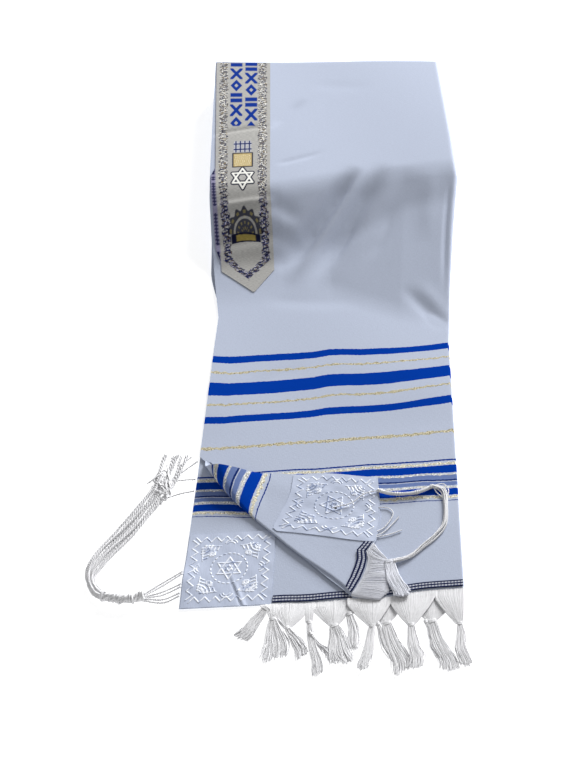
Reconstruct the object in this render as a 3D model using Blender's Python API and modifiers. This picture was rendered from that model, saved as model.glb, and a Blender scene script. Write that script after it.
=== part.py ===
"""A tallit prayer shawl, folded in half along its length and laid flat.

The doubled cloth lies on the floor from its fringed hem to a foot. Behind the foot it climbs the
rest of the shawl, folded up in loose passes, and runs over them to the back. One corner of the
upper layer is turned back. All sizes are in metres. While it is modelled, X runs across from the
neck edge to the fold, Y from the hem to the back and Z up, with the lower layer's corner at zero.
At the end the part is moved to stand on the middle of its own footprint.
"""
import math

import bmesh
import bpy
from mathutils import Vector

for item in list(bpy.data.objects):
    bpy.data.objects.remove(item)
shawl = bpy.data.collections.new("tallit prayer shawl")
cutters = bpy.data.collections.new("cutters")
bpy.context.scene.collection.children.link(shawl)
bpy.context.scene.collection.children.link(cutters)

# Cloth and trims
FOLDED_WIDTH = 0.305
WALL = 0.0012
TRIM = 0.0006
SEAM = 0.0003
EASE = 0.00045
LOWER_TOP = WALL
UPPER_TOP = LOWER_TOP + 2 * SEAM + TRIM + WALL + SEAM

# The turned corner: how far its fold reaches along the hem and along the neck edge
HEM_TURN = 0.184
NECK_TURN = 0.208
TURN_LENGTH = math.hypot(HEM_TURN, NECK_TURN)
TURN_ALONG = Vector((-HEM_TURN, NECK_TURN, 0)) / TURN_LENGTH
TURN_AWAY = Vector((NECK_TURN, HEM_TURN, 0)) / TURN_LENGTH
TURN_DEPTH = HEM_TURN * NECK_TURN / TURN_LENGTH
ROLL_AT_HEM = 0.0026
ROLL_AT_NECK = 0.0112
TURN_SKEW = 0.013
TURN_PUSH = 0.003
TURN_BOW = 0.010

# The folded rest of the shawl under the upper part
STACK_TOP = 0.055
FOOT = 0.455
SHOULDER = 0.701
BACK = 1.031
PASSES = 5

# Where the shawl's two long edges lie, from hem to back
EDGES = (
    # along, left_x, left_y, right_x, right_y
    (0.000, 0.000, 0.000, 0.305, 0.000),
    (0.300, 0.000, 0.300, 0.305, 0.300),
    (0.400, -0.001, 0.408, 0.305, 0.388),
    (FOOT, -0.001, 0.471, 0.308, 0.440),
    (0.500, -0.008, 0.515, 0.311, 0.485),
    (0.553, -0.016, 0.570, 0.316, 0.536),
    (0.605, -0.020, 0.622, 0.321, 0.588),
    (0.650, -0.023, 0.669, 0.326, 0.631),
    (SHOULDER, -0.028, 0.724, 0.332, 0.679),
    (0.800, -0.035, 0.822, 0.328, 0.778),
    (BACK, -0.053, 1.079, 0.315, 0.998),
)

# How the upper layer climbs the folded rest: gently from a foot to a knee, then steeply to its top
CLIMB = (
    # across, foot, knee, top, share of the height reached at the knee
    (0.00, 0.490, 0.562, 0.676, 0.10),
    (0.30, 0.500, 0.566, 0.676, 0.10),
    (0.50, 0.490, 0.600, 0.694, 0.34),
    (0.65, 0.475, 0.612, 0.696, 0.42),
    (0.80, 0.462, 0.640, 0.702, 0.56),
    (1.00, 0.455, 0.660, 0.705, 0.66),
)

# The largest creases: each fades out at both ends, and is pressed to a depth (- is a ridge)
CREASES = (
    # start_x, start_y, middle_x, middle_y, end_x, end_y, width, depth
    (0.170, 0.712, 0.140, 0.640, 0.080, 0.550, 0.014, 0.0056),
    (0.188, 0.705, 0.163, 0.636, 0.112, 0.535, 0.010, -0.0028),
    (0.204, 0.700, 0.186, 0.636, 0.150, 0.540, 0.011, 0.0034),
    (0.052, 0.680, 0.080, 0.655, 0.112, 0.622, 0.011, 0.0036),
    (0.055, 0.616, 0.090, 0.600, 0.120, 0.580, 0.010, 0.0030),
    (0.262, 0.712, 0.242, 0.660, 0.205, 0.590, 0.018, 0.0022),
    (0.300, 0.705, 0.294, 0.640, 0.284, 0.560, 0.014, -0.0034),
    (-0.022, 0.675, 0.025, 0.676, 0.075, 0.668, 0.008, -0.0030),
    (-0.020, 0.640, 0.025, 0.638, 0.075, 0.628, 0.010, 0.0030),
    (0.236, 0.545, 0.272, 0.480, 0.302, 0.425, 0.010, 0.0026),
)

# Sewn-on pieces
PATCH_SIDE = 0.101
PATCH_INSET = 0.001
BRAID_FROM_HEM = 0.002
BRAID_WIDTH = 0.0088
BAND_LEFT = 0.022
BAND_RIGHT = 0.255
BAND_SHOULDERS = 0.548
BAND_TIP = 0.507
BAND_MITRE = 0.5 * (BAND_TIP + BAND_SHOULDERS)

# Fringe: a net of scallops with a tassel at each point
NET_HEAD = 0.007
NET_POINT = 0.033
TASSEL_ROWS = 2
TASSEL_COLUMNS = 5
KNOT = (0.0066, 0.0085, 0.0030)
STRAND_WIDTH = 0.00095
STRAND_CLEAR = 0.0005

# Tzitzit: a wound head and the free strands
TZITZIT_STRANDS = 8
TZITZIT_STRAND = 0.00085
HEAD_RADIUS = 0.0030

COLOURS = {
    # piece: red, green, blue, roughness
    "cloth": (0.60, 0.63, 0.74, 0.75),
    "hidden": (0.55, 0.58, 0.68, 0.80),
    "satin": (0.62, 0.66, 0.76, 0.40),
    "neckband": (0.46, 0.45, 0.43, 0.45),
    "braid": (0.04, 0.06, 0.16, 0.55),
    "fringe": (0.78, 0.78, 0.75, 0.80),
}


def ease(value):
    """A soft step from 0 to 1."""
    value = min(max(value, 0.0), 1.0)
    return value * value * (3 - 2 * value)


def mix(start, end, share):
    return start + (end - start) * share


def from_table(rows, key, column):
    """A column of a table, read straight between its rows."""
    if key <= rows[0][0]:
        return rows[0][column]
    for low, high in zip(rows, rows[1:]):
        if key <= high[0]:
            return mix(low[column], high[column], (key - low[0]) / (high[0] - low[0]))
    return rows[-1][column]


def left_edge(along):
    return Vector((from_table(EDGES, along, 1), from_table(EDGES, along, 2), 0))


def right_edge(along):
    return Vector((from_table(EDGES, along, 3), from_table(EDGES, along, 4), 0))


def soft_ramp(past, soft):
    """A ramp that starts at 0 and bends softly over a length each way."""
    return (past + soft) ** 2 / (4 * soft) if abs(past) < soft else max(past, 0.0)


def rise(along, across):
    """How far the folded rest lifts the upper layer."""
    foot, knee, top, low = (from_table(CLIMB, across, column) for column in (1, 2, 3, 4))
    gentle = low / (knee - foot)
    steep = (1 - low) / (top - knee)
    share = gentle * soft_ramp(along - foot, 0.020)
    share += (steep - gentle) * soft_ramp(along - knee, 0.012)
    share -= steep * soft_ramp(along - top, 0.009)
    return (STACK_TOP - UPPER_TOP) * share


def creasing(x, y):
    """The creases' total depth at a place."""
    total = 0.0
    for start_x, start_y, middle_x, middle_y, end_x, end_y, width, depth in CREASES:
        bend = ((start_x, start_y), (middle_x, middle_y), (end_x, end_y))
        near, at = 9.0, 0.0
        for number, ((from_x, from_y), (to_x, to_y)) in enumerate(zip(bend, bend[1:])):
            run_x, run_y = to_x - from_x, to_y - from_y
            share = ((x - from_x) * run_x + (y - from_y) * run_y) / (run_x**2 + run_y**2)
            share = min(max(share, 0.0), 1.0)
            off = math.hypot(x - from_x - share * run_x, y - from_y - share * run_y)
            if off < near:
                near, at = off, (number + share) / 2
        total += depth * math.exp(-((near / width) ** 2)) * ease(at / 0.35) * ease((1 - at) / 0.35)
    return total


def upper_top(across, along):
    """The upper layer's outer face, across from 0 at the neck edge to 1 at the fold."""
    place = left_edge(along).lerp(right_edge(along), across)
    lying = ease((along - 0.24) / 0.08)
    ripple = 0.0010 + 0.0010 * math.sin(place.x / 0.048 + place.y / 0.11)
    lift = rise(along, across)
    pressed = creasing(place.x, place.y)
    pressed = min(pressed, lift + 0.4 * ripple * lying)
    place.z = UPPER_TOP + lift + ripple * lying - pressed
    return place


def normal_of(surface, first, second, step=0.002):
    """The outward normal of a surface of two values."""
    run_first = surface(first + step, second) - surface(first - step, second)
    run_second = surface(first, second + step) - surface(first, second - step)
    normal = run_first.cross(run_second).normalized()
    return normal


def material(piece):
    name = piece + " material"
    found = bpy.data.materials.get(name)
    if found:
        return found
    red, green, blue, roughness = COLOURS[piece]
    found = bpy.data.materials.new(name)
    found.use_nodes = True
    shader = found.node_tree.nodes["Principled BSDF"]
    shader.inputs["Base Color"].default_value = (red, green, blue, 1)
    shader.inputs["Roughness"].default_value = roughness
    shader.inputs["Metallic"].default_value = 0
    return found


def finish(name, mesh_builder, colour):
    """Makes a built mesh into a named object of the shawl."""
    mesh = bpy.data.meshes.new(name)
    bmesh.ops.recalc_face_normals(mesh_builder, faces=mesh_builder.faces)
    if mesh_builder.calc_volume(signed=True) < 0:
        bmesh.ops.reverse_faces(mesh_builder, faces=mesh_builder.faces)
    mesh_builder.to_mesh(mesh)
    mesh_builder.free()
    item = bpy.data.objects.new(name, mesh)
    item.data.materials.append(material(colour))
    shawl.objects.link(item)
    return item


def sheet(name, rows, thickness, colour):
    """A wall of cloth under rows of points of its outer face, each row going across."""
    builder = bmesh.new()
    count = len(rows[0])
    bmesh.ops.create_grid(builder, x_segments=count - 1, y_segments=len(rows) - 1, size=0.5)
    builder.verts.ensure_lookup_table()
    for vert in builder.verts:
        column = round((vert.co.x + 0.5) * (count - 1))
        row = round((vert.co.y + 0.5) * (len(rows) - 1))
        vert.co = rows[row][column]
    mesh = bpy.data.meshes.new(name)
    builder.to_mesh(mesh)
    builder.free()
    item = bpy.data.objects.new(name, mesh)
    item.data.materials.append(material(colour))
    shawl.objects.link(item)
    wall = item.modifiers.new("Wall", "SOLIDIFY")
    wall.thickness = thickness
    wall.offset = -1
    return item


def steps(start, end, count):
    return [mix(start, end, n / count) for n in range(count + 1)]


# ---------------------------------------------------------------- lower layer

def corner_lift(x, y):
    """The lower corner is lifted a little by the tzitzit's loops, which pass under its edge."""
    return 0.0030 * math.exp(-((max(x, 0) / 0.020) ** 2)) * math.exp(-(((y - 0.036) / 0.022) ** 2))


def lower_top(x, y):
    return Vector((x, y, LOWER_TOP + corner_lift(x, y)))


def foot_line(x):
    """Where the lower layer goes into the folded rest."""
    share = x / FOLDED_WIDTH
    return mix(left_edge(FOOT).y, right_edge(FOOT).y, share)


LOWER_COLUMNS = steps(0, PATCH_SIDE, 7) + steps(PATCH_SIDE, FOLDED_WIDTH - 2 * WALL, 6)[1:]
LOWER_ROWS = steps(0, PATCH_SIDE, 7) + steps(PATCH_SIDE, 0.96 * FOOT, 7)[1:]


def lower_layer():
    rows = [[lower_top(x, y) for x in LOWER_COLUMNS] for y in LOWER_ROWS]
    rows.append([lower_top(x, foot_line(x) - SEAM) for x in LOWER_COLUMNS])
    sheet("lower_layer", rows, WALL, "cloth")


# ---------------------------------------------------------------- upper layer

def roll_at(share):
    """The radius of the turned corner's roll, along its fold from the hem to the neck edge."""
    return mix(ROLL_AT_HEM, ROLL_AT_NECK, ease((share - 0.50) / 0.48))


ROLL_SHIFT = 0.6
NOTCH_END = NECK_TURN * (1 + (ROLL_SHIFT * ROLL_AT_NECK + SEAM + EASE) / (TURN_AWAY.x * HEM_TURN))
UPPER_COLUMNS = (0, BAND_LEFT, 0.09, 0.16, BAND_RIGHT, 0.32, 0.38, 0.44, 0.50, 0.56, 0.62, 0.68,
                 0.75, 0.82, 0.90, 0.97)
UPPER_STATIONS = (
    steps(0, NECK_TURN, 8) + [NOTCH_END, 0.25, 0.30, 0.35, 0.40, 0.44, 0.475, BAND_TIP, BAND_MITRE]
    + steps(BAND_SHOULDERS, SHOULDER, 9) + [0.72, 0.76, 0.80, 0.845, 0.90, 0.95, 1.00]
)
FOLD_DROP_LOW = 0.0030
FOLD_DROP_HIGH = 0.0100
BACK_ROUND = 0.012


def neck_side(along):
    """Where a row of the upper layer starts: at the turned corner's fold, or at the neck edge."""
    share = along / NECK_TURN
    start = HEM_TURN * (1 - share) + (ROLL_SHIFT * roll_at(share) + SEAM + EASE) / TURN_AWAY.x
    return max(start, 0.0) / FOLDED_WIDTH


def row_of(surface, along, low=0.0, drop=0.0):
    """A row of the upper layer, with its fold rounded down at the right."""
    start = neck_side(along)
    places = []
    for across in UPPER_COLUMNS:
        places.append(surface(mix(start, 1.0, across), along))
    edge = surface(1.0, along)
    reach = mix(FOLD_DROP_LOW, FOLD_DROP_HIGH, rise(along, 1.0) / (STACK_TOP - UPPER_TOP))
    out = 0.5 * reach
    for sideways, down in ((0.0, 0.0), (0.70, 0.30), (1.0, 1.0), (0.9, 2.0)):
        places.append(edge + Vector((out * (sideways - 1), 0, -out * down)))
    for place in places:
        place.z -= low
        place.y += drop
    return places


def upper_layer():
    rows = [row_of(upper_top, along) for along in UPPER_STATIONS]
    for out, down in ((0.0, 0.0), (0.70, 0.30), (1.0, 1.0), (0.95, 1.9)):
        rows.append(row_of(upper_top, BACK, BACK_ROUND * down, BACK_ROUND * (out - 1)))
    sheet("upper_layer", rows, WALL, "cloth")


# ---------------------------------------------------------------- turned corner

def turned(u, v, lift=0.0):
    """The outer face of the turned corner, at u from the neck edge and v from the hem."""
    from_corner = Vector((u, v, 0))
    depth = TURN_DEPTH - from_corner.dot(TURN_AWAY)
    along = (from_corner - Vector((HEM_TURN, 0, 0))).dot(TURN_ALONG)
    share = along / TURN_LENGTH
    roll = roll_at(share)
    base = UPPER_TOP - WALL
    rest = UPPER_TOP + EASE + WALL
    place = Vector((HEM_TURN, 0, 0)) + TURN_ALONG * along
    if depth < math.pi * roll:
        angle = depth / roll
        reach = -(roll + lift) * math.sin(angle)
        height = base + roll - (roll + lift) * math.cos(angle)
    else:
        reach = depth - math.pi * roll
        settle = 1 - ease(reach / (0.012 + 5 * roll))
        height = mix(rest, base + 2 * roll, settle) + lift
    away = ease(depth / 0.06)
    bow = ease(u / 0.06) * (1 - ease((u - 0.092) / 0.024)) * (1 - ease(v / 0.09))
    place += TURN_AWAY * (reach + ROLL_SHIFT * roll + TURN_PUSH * away)
    place -= TURN_ALONG * (TURN_SKEW * away)
    place.x += TURN_BOW * bow
    place.z = height
    return place


TURN_COLUMNS = 14
TURN_TIP = 0.0022


def cloth_at(depth, share):
    """The cloth's own place, at a depth from the fold and a share of the way to the neck edge."""
    left = 1 - depth / TURN_DEPTH
    return HEM_TURN * left * (1 - share), NECK_TURN * left * share


def turned_corner():
    roll = ROLL_AT_HEM
    depths = [0.0, 0.8 * roll, 1.6 * roll, 2.4 * roll, 3.2 * roll, 0.012, 0.016, 0.021, 0.027]
    depths += steps(0.034, TURN_DEPTH - TURN_TIP, 9)
    rows = []
    for depth in depths:
        row = []
        for share in steps(1, 0, TURN_COLUMNS):
            u, v = cloth_at(depth, share)
            row.append(turned(u, v))
        rows.append(row)
    sheet("turned_corner", rows, WALL, "cloth")


# ---------------------------------------------------------------- folded rest

PAD_STATIONS = [FOOT + SEAM] + [along for along in UPPER_STATIONS if along > FOOT + 0.01]
PAD_BACK = (
    # distance in from the back, and how far the top is rounded down there
    (0.0135, 0.0),
    (0.0055, 0.0045),
    (0.0022, 0.0117),
)
PAD_ACROSS = (0.012,) + UPPER_COLUMNS[2:-1] + (0.972,)
PASS_OUT = (
    # how far each pass, from the top down, stands out at the left and at the right
    (-0.0010, -0.0060),
    (0.0020, 0.0010),
    (-0.0020, -0.0010),
    (0.0035, 0.0020),
    (0.0005, -0.0005),
)
PASS_GROOVE = 0.0032


def pad_ring(along, lowered=0.0):
    """A section of the folded rest: its top, the rounded edges of its passes, its flat underside."""
    left = left_edge(along)
    right = right_edge(along)
    sideways = (right - left).normalized()
    top = []
    for across in PAD_ACROSS:
        place = upper_top(across, along)
        place.z = max(place.z - 1.2 * WALL - 2 * EASE - lowered, LOWER_TOP)
        top.append(place)
    grown = ease((along - FOOT) / 0.10)

    def side(edge_top, outward, column):
        places = []
        height = edge_top.z / PASSES
        for number in range(PASSES):
            out = PASS_OUT[number][column] * grown
            level = edge_top.z - number * height
            groove = PASS_GROOVE * grown
            for share, inset in ((0.22, 0.12), (0.5, 0.0), (0.82, 0.25)):
                places.append((level - share * height, out - inset * groove * 2))
            if number < PASSES - 1:
                places.append((level - height, out - groove))
        placed = []
        for level, out in places:
            place = edge_top + outward * (0.0035 * grown + 0.0012 + out)
            place.z = level
            placed.append(place)
        foot = edge_top + outward * (0.0005 - 0.003 * grown)
        foot.z = 0
        return placed + [foot]

    ring = list(top)
    ring += side(top[-1], sideways, 1)
    ring += list(reversed(side(top[0], -sideways, 0)))
    return ring


def folded_rest():
    rings = [pad_ring(along) for along in PAD_STATIONS]
    rings += [pad_ring(BACK - inward, lowered) for inward, lowered in PAD_BACK]
    builder = bmesh.new()
    loops = []
    for ring in rings:
        loops.append([builder.verts.new(place) for place in ring])
    count = len(loops[0])
    for near, far in zip(loops, loops[1:]):
        for n in range(count):
            after = (n + 1) % count
            builder.faces.new((near[n], near[after], far[after], far[n]))
    builder.faces.new(loops[0])
    builder.faces.new(loops[-1])
    bmesh.ops.triangulate(builder, faces=builder.faces)
    finish("folded_rest", builder, "hidden")


# ---------------------------------------------------------------- sewn-on pieces

def lifted(surface, first, second, height):
    return surface(first, second) + normal_of(surface, first, second) * height


def corner_patch():
    sides = [PATCH_INSET] + steps(0, PATCH_SIDE, 7)[1:-1] + [PATCH_SIDE - PATCH_INSET]
    rows = [[lifted(lower_top, x, y, SEAM + TRIM) for x in sides] for y in sides]
    sheet("corner_patch_lower", rows, TRIM, "satin")


def turned_patch():
    """The turned corner's patch, cut off where it goes round the roll."""
    clear = 0.013
    rows = []
    for v in steps(PATCH_INSET + 0.001, PATCH_SIDE, 15):
        limit = (TURN_DEPTH - clear - v * TURN_AWAY.y) / TURN_AWAY.x
        end = min(PATCH_SIDE, limit)
        rows.append([turned(u, v, 2.2 * EASE + TRIM) for u in steps(PATCH_INSET + 0.001, end, 14)])
    rows.reverse()
    sheet("corner_patch_turned", rows, TRIM, "satin")


def hem_braids():
    low, high = BRAID_FROM_HEM, BRAID_FROM_HEM + BRAID_WIDTH
    start = PATCH_SIDE + 0.001
    lower = [[lower_top(x, y) + Vector((0, 0, SEAM + TRIM)) for x in steps(start, 0.300, 8)]
             for y in (low, high)]
    sheet("hem_braid_lower", lower, TRIM, "braid")
    upper = []
    for y in (low, high):
        begin = (neck_side(y) * FOLDED_WIDTH) + 0.012
        row = [upper_top(x / FOLDED_WIDTH, y) for x in steps(begin, 0.300, 6)]
        upper.append([place + Vector((0, 0, SEAM + TRIM)) for place in row])
    sheet("hem_braid_upper", upper, TRIM, "braid")
    back = []
    for v in (high, low):
        end = (TURN_DEPTH - 0.012 - v * TURN_AWAY.y) / TURN_AWAY.x
        back.append([turned(u, v, 2 * EASE + TRIM) for u in steps(start, end, 12)])
    sheet("hem_braid_turned", back, TRIM, "braid")


def neckband():
    """The neckband follows the upper layer's own rows, from its mitred tip to the back."""
    stations = [along for along in UPPER_STATIONS if along >= BAND_SHOULDERS] + [BACK - 0.014]
    columns = [BAND_LEFT, 0.09, 0.16, BAND_RIGHT]
    middle = 0.5 * (BAND_LEFT + BAND_RIGHT)
    rows = []
    for along, share in ((BAND_TIP, 0.04), (BAND_MITRE, 0.52)):
        rows.append([lifted(upper_top, mix(middle, across, share), along, EASE + TRIM)
                     for across in columns])
    for along in stations:
        rows.append([lifted(upper_top, across, along, EASE + TRIM) for across in columns])
    sheet("neckband", rows, TRIM, "neckband")


# ---------------------------------------------------------------- fringe

def tassel(builder, knot, heading, fan, length, droop):
    """A tassel's knot with its strands drawn out of it, lying down towards the floor."""
    forward = Vector((math.sin(heading), -math.cos(heading), 0))
    sideways = Vector((math.cos(heading), math.sin(heading), 0))
    width, depth, height = KNOT
    made = bmesh.ops.create_grid(builder, x_segments=TASSEL_COLUMNS, y_segments=TASSEL_ROWS,
                                 size=0.5)
    for vert in made["verts"]:
        across, up = vert.co.x, vert.co.y
        vert.co = knot + sideways * (across * width) + Vector((0, 0, up * height))
    faces = list({face for vert in made["verts"] for face in vert.link_faces})
    pushed = bmesh.ops.extrude_face_region(builder, geom=faces)["geom"]
    front = [item for item in pushed if isinstance(item, bmesh.types.BMFace)]
    for vert in {vert for face in front for vert in face.verts}:
        vert.co += forward * depth
    bmesh.ops.inset_individual(builder, faces=front, thickness=0.00018)
    strands = front
    for number in (1, 2, 3):
        strands = bmesh.ops.extrude_discrete_faces(builder, faces=strands)["faces"]
        for order, face in enumerate(strands):
            centre = face.calc_center_median()
            offset = (centre - knot).dot(sideways) / (0.5 * width)
            if number > 1:
                offset /= mix(1.0, fan, (number - 1) / 3)
            turn = offset * mix(0.5, 1.0, number / 3)
            move = forward * (length / 3) * (1 - 0.05 * ((order * 7) % 5) * (number == 3))
            spread = sideways * (offset * 0.5 * width * (mix(1.0, fan, number / 3)
                                                         - mix(1.0, fan, (number - 1) / 3)))
            target = centre + move + spread
            level = mix(centre.z, droop + (centre.z > knot.z) * 1.3 * STRAND_WIDTH, 0.55)
            target.z = level
            for vert in face.verts:
                shift = vert.co - centre
                vert.co = target + shift * (0.92 if number < 3 else 0.75)


def net(name, points, valleys, hem_z, point_z, tassels):
    """A scalloped net: it hangs from the hem, and each point ends in the knot of a tassel."""
    places = []
    blunt = 0.5 * KNOT[0]
    for x in valleys:
        places.append((x, NET_HEAD))
    for x in points:
        places.append((x - blunt, NET_POINT))
        places.append((x + blunt, NET_POINT))
    places.sort()
    head = [Vector((x, -SEAM, hem_z)) for x, depth in places]
    middle = [Vector((x, -SEAM - NET_HEAD * 0.5, hem_z)) for x, depth in places]
    end = [Vector((x, -depth, mix(hem_z, point_z, depth / NET_POINT))) for x, depth in places]
    item = sheet(name, [end, middle, head], WALL, "fringe")
    builder = bmesh.new()
    for x, y, heading, fan, length in tassels:
        knot = Vector((x, y, max(point_z - 0.5 * WALL, STRAND_CLEAR + 0.5 * KNOT[2])))
        tassel(builder, knot, math.radians(heading), fan, length, STRAND_CLEAR + STRAND_WIDTH)
    join(item, finish(name + "_tassels", builder, "fringe"))


TASSELS_LOWER = (
    # knot_x, knot_y, heading in degrees, fan, length
    (0.0925, -0.0062, -30, 2.1, 0.036),
    (0.1005, -0.0160, 6, 3.0, 0.046),
    (0.1200, -0.0320, 6, 2.6, 0.042),
    (0.1445, -0.0100, 4, 1.8, 0.070),
    (0.1690, -0.0320, 8, 2.6, 0.042),
    (0.2240, -0.0320, 14, 2.1, 0.050),
    (0.2700, -0.0320, 14, 2.1, 0.050),
)
TASSELS_UPPER = (
    # knot_x, knot_y, heading in degrees, fan, length
    (0.2070, -0.0320, -8, 1.7, 0.046),
    (0.2490, -0.0320, 0, 1.7, 0.050),
    (0.2985, -0.0320, 2, 1.8, 0.050),
)


def fringes():
    low = [row[0] for row in TASSELS_LOWER if row[1] < -0.03]
    high = [row[0] for row in TASSELS_UPPER]
    net("fringe_lower", low, (0.0890, 0.1445, 0.1955, 0.2470, 0.2930, 0.3010),
        SEAM + WALL, SEAM + WALL, TASSELS_LOWER)
    net("fringe_upper", high, (0.1830, 0.2280, 0.2735, 0.3035), UPPER_TOP, 0.0034, TASSELS_UPPER)


def turned_fringe():
    """The turned corner's own fringe: one scallop of net beyond its hem, lying on the upper layer."""
    start, point, end = 0.1045, 0.1260, 0.1500
    blunt = 0.5 * KNOT[0]
    shape = ((start, NET_HEAD), (point - blunt, NET_POINT), (point + blunt, NET_POINT),
             (end, NET_HEAD))
    rows = []
    for share in (1.0, 0.5, 0.0):
        row = [turned(u, -mix(SEAM, depth, share)) for u, depth in shape]
        rows.append(row)
    item = sheet("fringe_turned", rows, WALL, "fringe")
    knot = turned(point, 0.001 - NET_POINT)
    knot.z = UPPER_TOP + SEAM + 0.6 * KNOT[2]
    builder = bmesh.new()
    over_braid = UPPER_TOP + 2 * SEAM + TRIM + 2 * STRAND_WIDTH
    tassel(builder, knot, math.radians(4), 1.9, 0.032, over_braid)
    join(item, finish("fringe_turned_tassel", builder, "fringe"))


# ---------------------------------------------------------------- tzitzit

def curve_through(points, count):
    """A smooth run through a few places, as evenly shared points."""
    places = [Vector(point) for point in points]
    padded = [2 * places[0] - places[1]] + places + [2 * places[-1] - places[-2]]
    found = []
    for n in range(count + 1):
        at = n / count * (len(places) - 1)
        span = min(int(at), len(places) - 2)
        t = at - span
        before, start, end, after = padded[span:span + 4]
        found.append(0.5 * (2 * start + (end - before) * t
                            + (2 * before - 5 * start + 4 * end - after) * t**2
                            + (3 * start - before - 3 * end + after) * t**3))
    return found


def tube(builder, path, radii, sides):
    """A closed tube along a path, flat-capped at both ends."""
    loops = []
    for n, place in enumerate(path):
        forward = (path[min(n + 1, len(path) - 1)] - path[max(n - 1, 0)]).normalized()
        sideways = forward.cross(Vector((0, 0, 1))).normalized()
        upward = sideways.cross(forward)
        loop = []
        for side in range(sides):
            angle = 2 * math.pi * (side + 0.5) / sides
            spoke = sideways * math.cos(angle) + upward * math.sin(angle)
            loop.append(builder.verts.new(place + spoke * radii[n]))
        loops.append(loop)
    for near, far in zip(loops, loops[1:]):
        for side in range(sides):
            after = (side + 1) % sides
            builder.faces.new((near[side], near[after], far[after], far[side]))
    builder.faces.new(loops[0])
    builder.faces.new(loops[-1])


def tzitzit(name, head_route, strand_route, loops):
    """A wound head with its windings as rings, free strands out of one end, loops at the other."""
    head = curve_through(head_route, 20)
    radii = [HEAD_RADIUS * (1.0 if n % 2 else 0.86) for n in range(21)]
    radii[0] = radii[-1] = 0.7 * HEAD_RADIUS
    builder = bmesh.new()
    tube(builder, head, radii, 8)
    item = finish(name, builder, "fringe")
    builder = bmesh.new()
    for number in range(TZITZIT_STRANDS):
        column = number % 4 - 1.5
        level = number // 4
        path = []
        middle = curve_through([row[:3] for row in strand_route], 12)
        for n, place in enumerate(middle):
            forward = (middle[min(n + 1, 12)] - middle[max(n - 1, 0)]).normalized()
            sideways = Vector((forward.y, -forward.x, 0)).normalized()
            width = from_table([(row[3], row[4]) for row in strand_route], n / 12, 1)
            rise_up = level * 2.3 * TZITZIT_STRAND
            path.append(place + sideways * (column + 0.35 * level) * width
                        + Vector((0, 0, rise_up)))
        tube(builder, path, [TZITZIT_STRAND] * 13, 3)
    for route in loops:
        tube(builder, curve_through(route, 6), [TZITZIT_STRAND] * 7, 3)
    strands = finish(name + "_strands", builder, "fringe")
    join(item, strands)


def join(item, added):
    """Fuses one object's bodies into another, and keeps the one object."""
    union = item.modifiers.new("Join", "BOOLEAN")
    union.operation = "UNION"
    union.object = added
    union.use_self = True
    added.hide_render = True
    added.display_type = "WIRE"
    shawl.objects.unlink(added)
    cutters.objects.link(added)


ON_FLOOR = 0.0014
TZITZIT_LOWER_HEAD = ((-0.036, 0.014, 0.0036), (-0.060, 0.013, 0.0036), (-0.084, 0.019, 0.0036))
TZITZIT_LOWER_STRANDS = (
    # x, y, z, share of the run, spacing
    (-0.082, 0.0185, 0.0026, 0.0, 0.0010),
    (-0.104, 0.030, ON_FLOOR, 0.2, 0.0021),
    (-0.116, 0.052, ON_FLOOR, 0.4, 0.0022),
    (-0.103, 0.091, ON_FLOOR, 0.6, 0.0040),
    (-0.073, 0.130, ON_FLOOR, 0.8, 0.0062),
    (-0.046, 0.170, ON_FLOOR, 0.9, 0.0078),
    (-0.032, 0.222, ON_FLOOR, 1.0, 0.0100),
)
TZITZIT_LOWER_LOOPS = (
    ((-0.038, 0.0146, 0.0040), (-0.024, 0.030, ON_FLOOR), (-0.0007, 0.047, ON_FLOOR)),
    ((-0.038, 0.0139, 0.0030), (-0.020, 0.020, ON_FLOOR), (-0.0007, 0.030, ON_FLOOR)),
    ((-0.038, 0.0132, 0.0040), (-0.018, 0.011, ON_FLOOR), (-0.0007, 0.018, ON_FLOOR)),
)
ON_UPPER = UPPER_TOP + EASE + 0.0006
TZITZIT_TURNED_HEAD = ((0.219, 0.1445, 0.0078), (0.250, 0.1385, 0.0078), (0.287, 0.1425, 0.0078))
TZITZIT_TURNED_STRANDS = (
    # x, y, z, share of the run, spacing
    (0.285, 0.1422, 0.0072, 0.0, 0.0010),
    (0.294, 0.132, ON_UPPER, 0.2, 0.0021),
    (0.293, 0.108, ON_UPPER, 0.4, 0.0021),
    (0.281, 0.080, ON_UPPER, 0.6, 0.0021),
    (0.264, 0.062, ON_UPPER, 0.8, 0.0021),
    (0.250, 0.046, ON_UPPER, 0.9, 0.0021),
    (0.247, 0.028, ON_UPPER + 0.0006, 0.95, 0.0022),
    (0.252, 0.006, ON_UPPER + 0.0018, 1.0, 0.0026),
)
TZITZIT_TURNED_LOOPS = (
    ((0.222, 0.1442, 0.0080), (0.195, 0.139, 0.0087), (0.173, 0.125, 0.0087)),
)

# ---------------------------------------------------------------- run

lower_layer()
upper_layer()
turned_corner()
folded_rest()
corner_patch()
turned_patch()
hem_braids()
neckband()
fringes()
turned_fringe()
tzitzit("tzitzit_lower", TZITZIT_LOWER_HEAD, TZITZIT_LOWER_STRANDS, TZITZIT_LOWER_LOOPS)
tzitzit("tzitzit_turned", TZITZIT_TURNED_HEAD, TZITZIT_TURNED_STRANDS, TZITZIT_TURNED_LOOPS)

# The part stands on the middle of its own footprint
bpy.context.view_layer.update()
graph = bpy.context.evaluated_depsgraph_get()
corners = []
for item in shawl.objects:
    corners += [item.matrix_world @ Vector(corner) for corner in item.evaluated_get(graph).bound_box]
middle_x = 0.5 * (min(c.x for c in corners) + max(c.x for c in corners))
middle_y = 0.5 * (min(c.y for c in corners) + max(c.y for c in corners))
for item in list(shawl.objects) + list(cutters.objects):
    item.location = (-middle_x, -middle_y, 0)
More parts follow.
